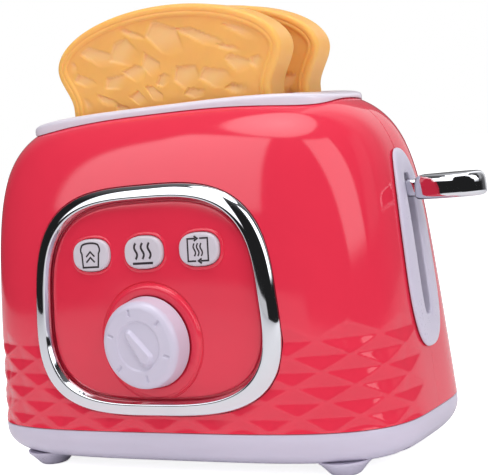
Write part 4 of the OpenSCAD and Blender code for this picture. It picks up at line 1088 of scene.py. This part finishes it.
class TOASTER_OT_dial(bpy.types.Operator):
    """Builds the dial: a turned knob with a recess, a pointer ridge and short cut marks"""

    bl_idname = "toaster.dial"
    bl_label = "Dial"

    # Radius of the rounded brow, in millimetres, as are all sizes here
    brow_r = 3.2
    # The step round the recess: radius, and level against the front
    recess = [(8.7, -0.55), (9.1, -0.55), (9.8, 0), (10.3, 0)]
    # The rounded edge at the back: inset from the rim, and level, and the radius of the last ring
    back_edge, back_r = ((0, 0.35), (0.1, 0.1), (0.3, 0)), 4.0
    # The marks: count, turn of the first in degrees, radius of their middles, soft edges along and across
    marks, first_mark, mark_r, mark_soft = 6, 102, 12.9, (0.25, 0.3)
    # Half length, half width and depth of a mark
    mark_half_l, mark_half_w, mark_depth = 1.35, 0.6, 0.6
    # The pointer ridge: its ends, its half width at each, its soft edge and its height
    ridge_ends = np.array([(-3.6, 4.3), (2.9, -4.6)])
    ridge_half, ridge_soft, ridge_high = (1.45, 2.6), 1.5, 1.5

    def mark_depths(self, x, y):
        """Depth of the marks: short strokes along the radius, in even turns, with soft edges."""
        depth = 0 * x
        for k in range(self.marks):
            turn = math.radians(360 / self.marks * k + self.first_mark)
            along = np.abs(x * math.cos(turn) + y * math.sin(turn) - self.mark_r)
            across = np.abs(-x * math.sin(turn) + y * math.cos(turn))
            cut = np.clip((self.mark_half_l - along) / self.mark_soft[0], 0, 1)
            cut = cut * np.clip((self.mark_half_w - across) / self.mark_soft[1], 0, 1)
            depth = depth + self.mark_depth * cut
        return depth

    def ridge_height(self, x, y):
        """Height of the ridge: a smooth step in the distance from a line, wider towards its second end."""
        start, line = self.ridge_ends[0], self.ridge_ends[1] - self.ridge_ends[0]
        share = np.clip(((x - start[0]) * line[0] + (y - start[1]) * line[1]) / (line @ line), 0, 1)
        away = np.hypot(x - start[0] - share * line[0], y - start[1] - share * line[1])
        half = self.ridge_half[0] + (self.ridge_half[1] - self.ridge_half[0]) * share
        step = np.clip((half - away) / self.ridge_soft + 0.5, 0, 1)
        return self.ridge_high * step * step * (3 - 2 * step)

    def execute(self, context):
        b, f = context.scene.toaster_body, context.scene.toaster_front
        rim, t = f.dial_r / MM, f.dial_t / MM
        arc = np.linspace(0, math.pi / 2, 16)[::-1]
        brow = rim - f.dial_draft / MM - self.brow_r
        curve = np.stack([brow + self.brow_r * np.cos(arc), t - self.brow_r + self.brow_r * np.sin(arc)], -1)
        face = np.concatenate([[(0.05, self.recess[0][1])], smooth_profile(self.recess, 16, 2)]) + [0, t]
        side = [(rim - i, h) for i, h in self.back_edge] + [(self.back_r, 0)]
        profile = np.concatenate([face, curve, side])
        run = run_along(profile)
        at = np.sort(np.concatenate([np.linspace(0, run[-1], 150), run]))
        r, h = (np.interp(at, run, profile[:, k]) for k in (0, 1))
        v = turns(320)
        x, y = r[:, None] * np.cos(v), r[:, None] * np.sin(v)
        front = (at < run[len(face) + len(curve) - 1])[:, None]
        high = h[:, None] + front * (self.ridge_height(x, y) - self.mark_depths(x, y))
        back = on_front(b, np.array([0, f.dial_z]), f.pad_out)[1] - f.dial_gap
        skin = Skin().rings(np.stack([x * MM, back - high * MM, f.dial_z + y * MM], -1))
        make_piece("dial_knob", skin, "pale", "dial", ["dial"], sharp=60)
        return {"FINISHED"}


class TOASTER_OT_lever(bpy.types.Operator):
    """Builds the side track plate and the bright lever"""

    bl_idname = "toaster.lever"
    bl_label = "Track and lever"

    # Outlines of the stem's slot and of the track plate: half widths at foot and head, heights of both
    slot_sizes, slot_square = np.array((3.3, 3.3, 54.2, 107.8)) * MM, 5
    track_sizes, track_square = np.array((14.4, 10, 42, 117.5)) * MM, 2.7
    # The track's section: share of the way from the slot to the outer edge, and level in millimetres
    track_section = [
        (0.0, -3.6), (0.08, -3.6), (0.1, 0.42), (1.0, 0.42), (1.0, 1.0), (0.94, 1.55), (0.8, 1.92),
        (0.6, 2.0), (0.16, 1.95), (0.05, 1.75), (0.0, 1.2), (0.0, -3.6),
    ]
    # How far out of the body the tab begins, and how far the stem reaches into it
    tab_from, stem_in = 4.6 * MM, 4 * MM
    # The tab's section: level against its middle, and inset, in millimetres
    tab_section = [
        (-4.6, 2.4), (-4.5, 1.4), (-4.1, 0.6), (-3.5, 0.15), (-2.9, 0.0), (0.6, 0.16), (1.9, 0.26),
        (3.0, 0.55), (3.8, 1.05), (4.4, 1.85), (4.6, 2.8),
    ]
    # The tab's outline: exponents along and across at its root and at its end, and the root's narrowing
    root_powers, end_powers, root_narrow = (0.5, 0.2), (0.8, 0.9), 0.42
    # Half width, half height and exponent of the stem
    stem_half, stem_power = (2.9 * MM, 3.4 * MM), 0.45

    def tab_outline(self, v):
        """The tab in plan, from -1 to 1 both ways: squarish and narrower at its root, round at its end."""
        c, s = np.cos(v), np.sin(v)
        x = np.where(c < 0, signed_power(c, self.root_powers[0]), signed_power(c, self.end_powers[0]))
        root = signed_power(s, self.root_powers[1]) * (1 + self.root_narrow * x)
        return x, np.where(c < 0, root, signed_power(s, self.end_powers[1]))

    def execute(self, context):
        b = context.scene.toaster_body
        slot = pill_outline(*self.slot_sizes, self.slot_square)(turns(260))
        edge = pill_outline(*self.track_sizes, self.track_square)(turns(260))
        path, level = banded(slot, edge, smooth_profile(self.track_section, 80, 2))
        skin = Skin().belt(on_side(b, path, level))
        make_piece("track_plate_skin", skin, "pale", "housing", ["track_plate"], sharp=50)

        lo, hi = (np.array(c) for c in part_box("lever_handle"))
        mid_z = (lo[2] + hi[2]) / 2
        root = half_width(b, mid_z) + self.tab_from
        half, wide = (hi[0] - root) / 2, (hi[1] - lo[1]) / 2
        x, y = self.tab_outline(turns(220))
        rows = []
        for z, inset in smooth_profile(self.tab_section, 60, 2) * MM:
            along, across = root + half + (half - inset) * x, (wide - inset) * y
            rows.append(np.stack([along, across, mid_z + z + 0 * x], -1))
        skin = Skin().rings(np.stack(rows))
        v = turns(96)
        y = self.stem_half[0] * signed_power(np.cos(v), self.stem_power)
        z = self.stem_half[1] * signed_power(np.sin(v), self.stem_power) + mid_z
        places = np.linspace(lo[0], root + self.stem_in, 12)
        skin.rings(np.stack([np.stack([x + 0 * v, y, z], -1) for x in places]))
        make_piece("lever_tab", skin, "chrome", "carriage", ["lever_handle"], sharp=60)
        return {"FINISHED"}


class TOASTER_OT_toast(bpy.types.Operator):
    """Builds the two play slices with their crust and chipped crumb"""

    bl_idname = "toaster.toast"
    bl_label = "Toast"

    # Each slice's node and seed, and its shift along X and the lowering of its top, in millimetres
    slices = (("front_toast", 11, 0.0, 0.0), ("rear_toast", 29, 0.5, 0.4))
    # Half widths of lobes and neck, heights of the top and of the flare under it, radius of the lower corners
    lobe, neck, dome, flare, corner = 52.3 * MM, 46.4 * MM, 20.9 * MM, 16 * MM, 9 * MM
    # Slope of the leaning top, its level under the solid's, and how the outline's points crowd towards it
    lean, under_top, crowding = 0.018, 0.03 * MM, 0.5
    # The crust's section: inset from the outline and height over the middle plane, in millimetres
    crust_section = [
        (0, 0), (0, 4.9), (0.3, 5.8), (0.9, 6.35), (1.6, 6.5), (2.6, 6.5), (2.85, 6.2), (3.1, 6.2),
        (3.35, 6.42), (4.1, 6.4), (4.5, 6.2), (4.7, 5.8), (5.2, 5.7),
    ]
    # Half thickness in that section of the whole slice and of the crumb, in millimetres
    section_half, crumb_half = 6.5, 5.7
    # Inset at which the crust's colour ends, and the width of its soft edge, in millimetres
    crust_to, crust_soft = 5.0, 0.5
    # Height of the crumb's middle over the slice's foot, and the depth of the pits
    crumb_middle, pit_depth = 55 * MM, 1 * MM
    # Pits of the front face, in millimetres and degrees: middle to the right, middle under the top, half
    # length, half width and turn
    front_flakes = (
        (-31.7, 16.4, 11.9, 3.1, -26), (-18.4, 16.5, 8.0, 6.2, -5), (1.9, 13.6, 10.8, 5.7, -34),
        (19.1, 15.0, 12.3, 2.5, -26), (36.8, 14.5, 8.9, 2.7, -31), (34.0, 26.5, 7.3, 3.0, -21),
        (41.4, 26.6, 3.4, 2.6, 6), (-6.1, 23.3, 5.5, 3.5, -23), (-13.9, 25.0, 5.4, 3.3, -29),
        (-39.3, 25.6, 6.3, 2.4, -20), (-23.5, 27.3, 7.4, 2.8, 12), (-1.0, 29.1, 4.3, 2.5, 17),
        (10.2, 28.6, 7.6, 4.8, -16), (22.8, 30.8, 8.4, 4.6, -14), (-29.1, 34.6, 6.7, 1.7, -25),
        (-6.1, 34.0, 5.0, 2.6, -46), (12.9, 36.0, 5.4, 2.0, -9), (-14.0, 35.0, 4.3, 2.9, -31),
        (-45.3, 19.0, 3.4, 2.0, -50), (-13.6, 9.6, 8.0, 1.3, -24), (29.7, 20.2, 6.0, 1.2, -20),
        (-40.0, 35.4, 4.6, 1.8, -20), (-21.5, 38.6, 4.6, 1.7, -25), (32.7, 36.6, 6.4, 1.8, -14),
    )
    # Grid of all other pits over the slice's foot, and the height at which it ends under those of the front
    grid_x, grid_z, grid_to = np.arange(-38, 39, 12.5), np.arange(10, 90, 9.5), 52
    # Their usual offsets, half length, half width and turn, and how far each of these strays
    usual, strays = (0, 0, 6.6, 3.4, -20), (4, 3, 2.2, 1, 22)
    # A pit's sides: count, turn of the first and jitter of each in sides, and the nearest they come
    pit_sides, first_side, side_jitter, side_near = 5, 0.3, 0.34, 0.72
    # A pit's floor: depth share at its middle, change along and across it, and the width of its edge
    pit_middle, pit_along, pit_across, pit_edge = 0.48, -0.52, 0.3, 0.09

    def outline(self, low, high, middle, steps):
        """Bread outline (x, z): straight sides, a neck, lobes and a half-ellipse top, leaning to the left."""
        lobe_z = high - self.dome
        t = np.linspace(0, math.pi / 2, 60)
        s = np.linspace(0, 1, 60)
        foot = np.array([self.neck - self.corner, low + self.corner])
        foot = foot + self.corner * np.stack([np.sin(t), -np.cos(t)], -1)
        swell = self.neck + (self.lobe - self.neck) * s * s * (3 - 2 * s)
        side = np.stack([swell, lobe_z - self.flare * (1 - s)], -1)
        top = np.stack([self.lobe * np.cos(t), lobe_z + self.dome * np.sin(t)], -1)
        right = np.concatenate([[(0, low)], foot, side, top])
        whole = np.concatenate([right, right[-2:0:-1] * [-1, 1], right[:1]])
        run = run_along(whole)
        at = np.arange(steps) / steps
        at = (at + self.crowding / TAU * np.sin(at * TAU)) * run[-1]
        x, z = (np.interp(at, run, whole[:, k]) for k in (0, 1))
        return np.stack([x + middle, z - self.lean * x * (z - low) / (high - low) - self.under_top], -1)

    def flakes(self, rng, low, high, middle, shown):
        """Pits (x, z, half length, half width, turn): the front's own where shown, then a jittered grid."""
        rows = self.grid_z[self.grid_z < self.grid_to] if shown else self.grid_z
        x, z = (v.ravel() for v in np.meshgrid(self.grid_x, rows))
        found = self.usual + self.strays * rng.uniform(-1, 1, (len(x), 5))
        found[:, 0] += x
        found[:, 1] += z
        if shown:
            seen = np.array(self.front_flakes) * [1, -1, 1, 1, 1] + [0, (high - low) / MM, 0, 0, 0]
            found = np.concatenate([seen, found])
        return found * [MM, MM, MM, MM, math.pi / 180] + [middle, low, 0, 0, 0]

    def chips(self, p, found, rng):
        """Depth share at points (x, z): five-sided pits, deep at the upper left, level at the lower right."""
        d = p[:, None] - found[:, :2]
        turn = found[:, 4]
        a = (d[..., 0] * np.cos(turn) + d[..., 1] * np.sin(turn)) / found[:, 2]
        c = (d[..., 1] * np.cos(turn) - d[..., 0] * np.sin(turn)) / found[:, 3]
        reach = np.full(a.shape, -1.0)
        for k in range(self.pit_sides):
            jitter = rng.uniform(-self.side_jitter, self.side_jitter, len(found))
            face = (k + self.first_side + jitter) * TAU / self.pit_sides
            near = rng.uniform(self.side_near, 1.0, len(found))
            reach = np.maximum(reach, (a * np.cos(face) + c * np.sin(face)) / near)
        fall = np.clip(self.pit_middle + self.pit_along * a + self.pit_across * c, 0, 1)
        return (fall * np.clip((1 - reach) / self.pit_edge, 0, 1)).max(1)

    def slice_rings(self, node, seed, shift, drop):
        """Rings from the middle of one face, over the crust, to the middle of the other, with their tags."""
        lo, hi = (np.array(c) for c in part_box(node))
        rng = np.random.default_rng(seed)
        middle = (lo[0] + hi[0]) / 2 + shift * MM
        p = self.outline(lo[2], hi[2] - drop * MM, middle, 360)
        d = np.roll(p, -1, 0) - np.roll(p, 1, 0)
        n = np.stack([d[:, 1], -d[:, 0]], -1) / np.linalg.norm(d, axis=1)[:, None]
        half, mid_y = (hi[1] - lo[1]) / 2, (hi[1] + lo[1]) / 2
        centre = np.array([middle, lo[2] + self.crumb_middle])
        edge = smooth_profile(self.crust_section, 54, 1)
        rim = p[None] - n[None] * edge[:, 0, None, None] * MM
        share = np.linspace(1, 0.02, 76)[1:, None, None]
        flat = np.concatenate([rim, centre + (rim[-1] - centre) * share])
        height = np.concatenate([edge[:, 1], np.full(len(share), self.crumb_half)]) / self.section_half * half
        crust = np.clip((self.crust_to - edge[:, 0]) / self.crust_soft, 0, 1)
        crust = np.concatenate([crust, np.zeros(len(share))])
        inside = np.clip((np.arange(len(flat)) - len(edge)) / 2, 0, 1)[:, None]
        faces, pits = [], []
        for side in (-1, 1):
            found = self.flakes(rng, lo[2], hi[2], middle, side < 0 and node == "front_toast")
            depth = self.chips(flat.reshape(-1, 2), found, rng).reshape(flat.shape[:2]) * inside
            y = mid_y + side * (height[:, None] - self.pit_depth * depth)
            faces.append(np.stack([flat[..., 0], y, flat[..., 1]], -1))
            pits.append(depth)
        return (np.concatenate([one[::-1], other[1:]]) for one, other in (faces, pits, (crust, crust)))

    def execute(self, context):
        for node, seed, shift, drop in self.slices:
            rings, hollow, tint = self.slice_rings(node, seed, shift, drop)
            skin = Skin().rings(rings, tint)
            piece = make_piece(node + "_slice", skin, "toast", node, [node], sharp=50)
            # The pits' depths, which also mark where the toast's painted highlight falls
            values = np.concatenate([hollow.ravel(), hollow[0, :1], hollow[-1, :1]])
            piece.data.attributes.new("hollow", "FLOAT", "POINT").data.foreach_set("value", values)
        return {"FINISHED"}


class TOASTER_OT_inner_parts(bpy.types.Operator):
    """Gives the solids that stay in view their finishes"""

    bl_idname = "toaster.inner_parts"
    bl_label = "Inner parts"

    # Finishes and the nodes that wear them
    looks = {
        "inner": ("bread_guide", "carriage", "dial_cam", "latch"),
        "steel": (
            "guide_rods", "latch_pin", "board_screws", "door_screw", "base_screws", "shell_screws",
            "guide_screws", "left_spring", "right_spring", "lever_screw", "dial_shaft",
        ),
        "dark": ("tact_switches", "speaker"),
        "brass": ("battery_contacts",),
        "board": ("button_board",),
        "cell": ("batteries",),
        "pale": ("battery_door",),
    }

    def execute(self, context):
        for finish, nodes in self.looks.items():
            for node in nodes:
                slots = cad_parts[node].data.materials
                slots.clear()
                slots.append(finishes()[finish])
        return {"FINISHED"}


class TOASTER_OT_stage(bpy.types.Operator):
    """Sets the floor, the backdrop, the lamps and the camera"""

    bl_idname = "toaster.stage"
    bl_label = "Stage"

    # The camera's turn to the lever side, rise and roll in degrees, fitted to the photograph
    camera_angles = (29.9286, 4.4918, -6.1174)
    # The spot that it looks at and its distance from there, in millimetres
    camera_aim, camera_reach = (16.722, 1.856, 86.966), 530.158
    # Its focal length and the picture's width in pixels, and the sensor's width in millimetres
    focal, picture_w, sensor_w = 1303.75, 488, 36.0
    # The lamps: name, place, aim, size and power
    lamps = (
        ("left_box", (-0.6, -1.0, 0.85), (0, 0, 0.08), (0.9, 0.8), 1.8),
        ("right_box", (1.1, -0.45, 0.75), (0, 0, 0.08), (0.8, 0.8), 6.2),
        ("over_box", (0, -0.3, 1.4), (0, 0, 0.1), (0.9, 0.8), 10.5),
    )
    # Half size of the floor, and radius and middle height of the tent, in metres
    floor_half, tent_r, tent_z = 6, 1.5, 0.08

    def camera(self):
        """A camera on a sphere round its aim, rolled about its own axis."""
        turn, up_by, roll = (math.radians(a) for a in self.camera_angles)
        back = Vector((math.sin(turn) * math.cos(up_by), -math.cos(turn) * math.cos(up_by), math.sin(up_by)))
        flat = Vector((math.cos(turn), math.sin(turn), 0))
        up = back.cross(flat)
        right = math.cos(roll) * flat + math.sin(roll) * up
        top = -math.sin(roll) * flat + math.cos(roll) * up
        place = (Vector(self.camera_aim) + back * self.camera_reach) * MM
        lens = bpy.data.cameras.new("photo_camera")
        lens.sensor_fit, lens.sensor_width = "HORIZONTAL", self.sensor_w
        lens.lens = self.focal / self.picture_w * self.sensor_w
        lens.clip_start = 0.01
        camera = link_object("photo_camera", lens)
        turned_to = Matrix((right, top, back)).transposed().to_4x4()
        camera.matrix_world = Matrix.Translation(place) @ turned_to
        bpy.context.scene.camera = camera

    def lamp(self, name, place, aim, size, power):
        """A soft rectangular lamp that points at a spot and that reflections don't show."""
        light = bpy.data.lights.new(name, "AREA")
        light.shape, light.size, light.size_y, light.energy = "RECTANGLE", size[0], size[1], power
        lamp = link_object(name, light)
        lamp.location = place
        lamp.rotation_euler = (Vector(aim) - Vector(place)).to_track_quat("-Z", "Y").to_euler()
        lamp.visible_glossy = False

    def world(self):
        """White to the camera, to reflections and through glass, and a plain level of light elsewhere."""
        m = Finish("studio", bpy.data.worlds)
        kinds = ("Is Camera Ray", "Is Glossy Ray", "Is Transmission Ray")
        camera, glossy, through = (m.node("ShaderNodeLightPath", output=kind) for kind in kinds)
        seen = camera.math("MAXIMUM", glossy).math("MAXIMUM", through)
        plain = m.node("ShaderNodeBackground", {}, {"Color": (0.97, 0.97, 1.0, 1), "Strength": 0.4})
        white = m.node("ShaderNodeBackground", {}, {"Color": (1, 1, 1, 1)})
        both = m.node("ShaderNodeMixShader", {}, {0: seen, 1: plain, 2: white})
        m.node("ShaderNodeOutputWorld", {}, {"Surface": both})
        bpy.context.scene.world = m.owner

    def floor(self):
        """A wide pale floor that keeps the object's soft shadow, white to the camera and clear from below."""
        m = Finish("pale_floor")
        cloud = m.noise(3, 2, 0.5)
        tone = m.mix(cloud, (0.93, 0.93, 0.935, 1), (0.96, 0.96, 0.96, 1))
        matt = {"Base Color": tone, "Roughness": 1.0, "Specular IOR Level": 0.0}
        plain = m.node("ShaderNodeBsdfPrincipled", {}, matt)
        lift = m.node("ShaderNodeEmission", {}, {"Color": (1, 1, 1, 1), "Strength": 0.85})
        both = m.node("ShaderNodeAddShader", {}, {0: plain, 1: lift})
        seen = m.node("ShaderNodeLightPath", output="Is Camera Ray")
        upper = m.node("ShaderNodeMixShader", {}, {0: seen, 1: plain, 2: both})
        clear = m.node("ShaderNodeBsdfTransparent")
        under = m.node("ShaderNodeNewGeometry", output="Backfacing")
        shown = m.node("ShaderNodeMixShader", {}, {0: under, 1: upper, 2: clear})
        m.node("ShaderNodeOutputMaterial", {}, {"Surface": shown})
        v = np.linspace(-self.floor_half, self.floor_half, 3)
        x, y = np.meshgrid(v, v)
        mesh = bpy.data.meshes.new("floor")
        mesh.from_pydata(np.stack([x, y, 0 * x], -1).reshape(-1, 3).tolist(), [], grid_faces(3, 3).tolist())
        mesh.materials.append(m.owner)
        link_object("floor", mesh)

    def backdrop(self, name, points, level):
        """A backdrop that only reflections see, with its own brightness at each point."""
        m = Finish(name)
        strength = float(level.max())
        tone = m.mix(m.tint(), (0, 0, 0, 1), (1, 1, 1, 1))
        black = {"base_color": (0, 0, 0, 1), "roughness": 1.0, "specular_ior_level": 0.0}
        m.done(emission_color=tone, emission_strength=strength, **black)
        m.owner.cycles.emission_sampling = "NONE"
        mesh = bpy.data.meshes.new(name)
        mesh.from_pydata(points.reshape(-1, 3).tolist(), [], grid_faces(*level.shape).tolist())
        mesh.attributes.new("tint", "FLOAT", "POINT").data.foreach_set("value", np.ravel(level / strength))
        mesh.materials.append(m.owner)
        card = link_object(name, mesh)
        card.visible_camera = card.visible_diffuse = card.visible_shadow = card.visible_transmission = False

    def tent(self):
        """A dark dome with soft windows at the left front, overhead and at the right, and a low bright strip.

        Each light is a product of soft steps in the turn az and the rise el, both in degrees, times its
        brightness, and the brightest light wins at each point.
        """

        def edge(v, soft):
            """A step t^2 (3 - 2t) from 0 to 1 round v = 0, as wide as soft."""
            t = np.clip(v / soft + 0.5, 0, 1)
            return t * t * (3 - 2 * t)

        def span(v, low, high, soft_low, soft_high):
            """1 between low and high, with a soft step at each."""
            return edge(v - low, soft_low) * edge(high - v, soft_high)

        upward = np.concatenate([np.linspace(-3, 3, 24), np.linspace(3.6, 89.9, 150)])
        turn, up = np.meshgrid(np.radians(np.linspace(-180, 180, 481)), np.radians(upward))
        az, el = np.degrees(turn), np.degrees(up)
        left = span(az, -52, -9, 4, 2) * span(el, 15.5, 53, 3, 3) * (2.0 + 0.03 * (el - 15))
        right = 2.7 * span(el, 6, 53, 4, 3) * edge(el - 77 + 1.33 * az, 4) * edge(85 - 0.6 * el - az, 3)
        # The window overhead is an ellipse on a level ceiling
        across, ahead = np.sin(turn) / np.tan(up), np.cos(turn) / np.tan(up)
        off = np.hypot((across + 0.06) / 0.37, (ahead - 0.36) / 0.36)
        over = 4.6 * edge(1 - off, 0.14) * (1.05 - 0.4 * off) * (up > 0.4)
        # The room: its ceiling, its back, brighter on one side, a far window and a strip past the floor
        room = 0.02 + 0.15 * edge(el - 48, 30)
        room += edge(np.abs(az) - 112, 40) * (0.15 + 0.014 * np.clip(el, 0, 90)) * np.where(az > 0, 0.9, 0.5)
        room += 0.75 * edge(az - 150, 25) + 0.4 * span(az, 88, 110, 8, 10) * span(el, 5, 45, 4, 15)
        room += 0.7 * edge(-0.1 - el, 0.7) * span(az, -35.5, 8, 2, 4)
        level = np.maximum.reduce([room, left, right, over])
        flat = self.tent_r * np.cos(up)
        points = [flat * np.sin(turn), -flat * np.cos(turn), self.tent_z + self.tent_r * np.sin(up)]
        self.backdrop("studio_tent", np.stack(points, -1), level)

    def execute(self, context):
        self.camera()
        self.world()
        self.floor()
        self.tent()
        for values in self.lamps:
            self.lamp(*values)
        context.scene.view_settings.view_transform = "Standard"
        return {"FINISHED"}


class TOASTER_PT_panel(bpy.types.Panel):
    """Lists the pieces in the 3D view's sidebar"""

    bl_idname = "TOASTER_PT_panel"
    bl_label = "Toy toaster"
    bl_space_type = "VIEW_3D"
    bl_region_type = "UI"
    bl_category = "Toaster"

    def draw(self, context):
        for operator in OPERATORS:
            self.layout.operator(operator.bl_idname)
        for group in (context.scene.toaster_body, context.scene.toaster_front, context.scene.toaster_colours):
            for name in group.__annotations__:
                self.layout.prop(group, name)


OPERATORS = (
    TOASTER_OT_stage,
    TOASTER_OT_shells,
    TOASTER_OT_screw_wells,
    TOASTER_OT_base,
    TOASTER_OT_slot_plate,
    TOASTER_OT_front,
    TOASTER_OT_buttons,
    TOASTER_OT_dial,
    TOASTER_OT_lever,
    TOASTER_OT_toast,
    TOASTER_OT_inner_parts,
)
GROUPS = {"toaster_body": ToasterBody, "toaster_front": ToasterFront, "toaster_colours": ToasterColours}


def register():
    """Registers the classes and hangs the property groups on the scene."""
    for group in GROUPS.values():
        bpy.utils.register_class(group)
    for kind in OPERATORS + (TOASTER_PT_panel,):
        bpy.utils.register_class(kind)
    for name, group in GROUPS.items():
        setattr(bpy.types.Scene, name, bpy.props.PointerProperty(type=group))


def unregister():
    """Takes the classes and property groups away again."""
    for name in GROUPS:
        delattr(bpy.types.Scene, name)
    for kind in (TOASTER_PT_panel,) + OPERATORS[::-1]:
        bpy.utils.unregister_class(kind)
    for group in GROUPS.values():
        bpy.utils.unregister_class(group)


def main():
    """Builds everything."""
    register()
    for operator in OPERATORS:
        group, name = operator.bl_idname.split(".")
        getattr(getattr(bpy.ops, group), name)()


if __name__ == "__main__":
    main()
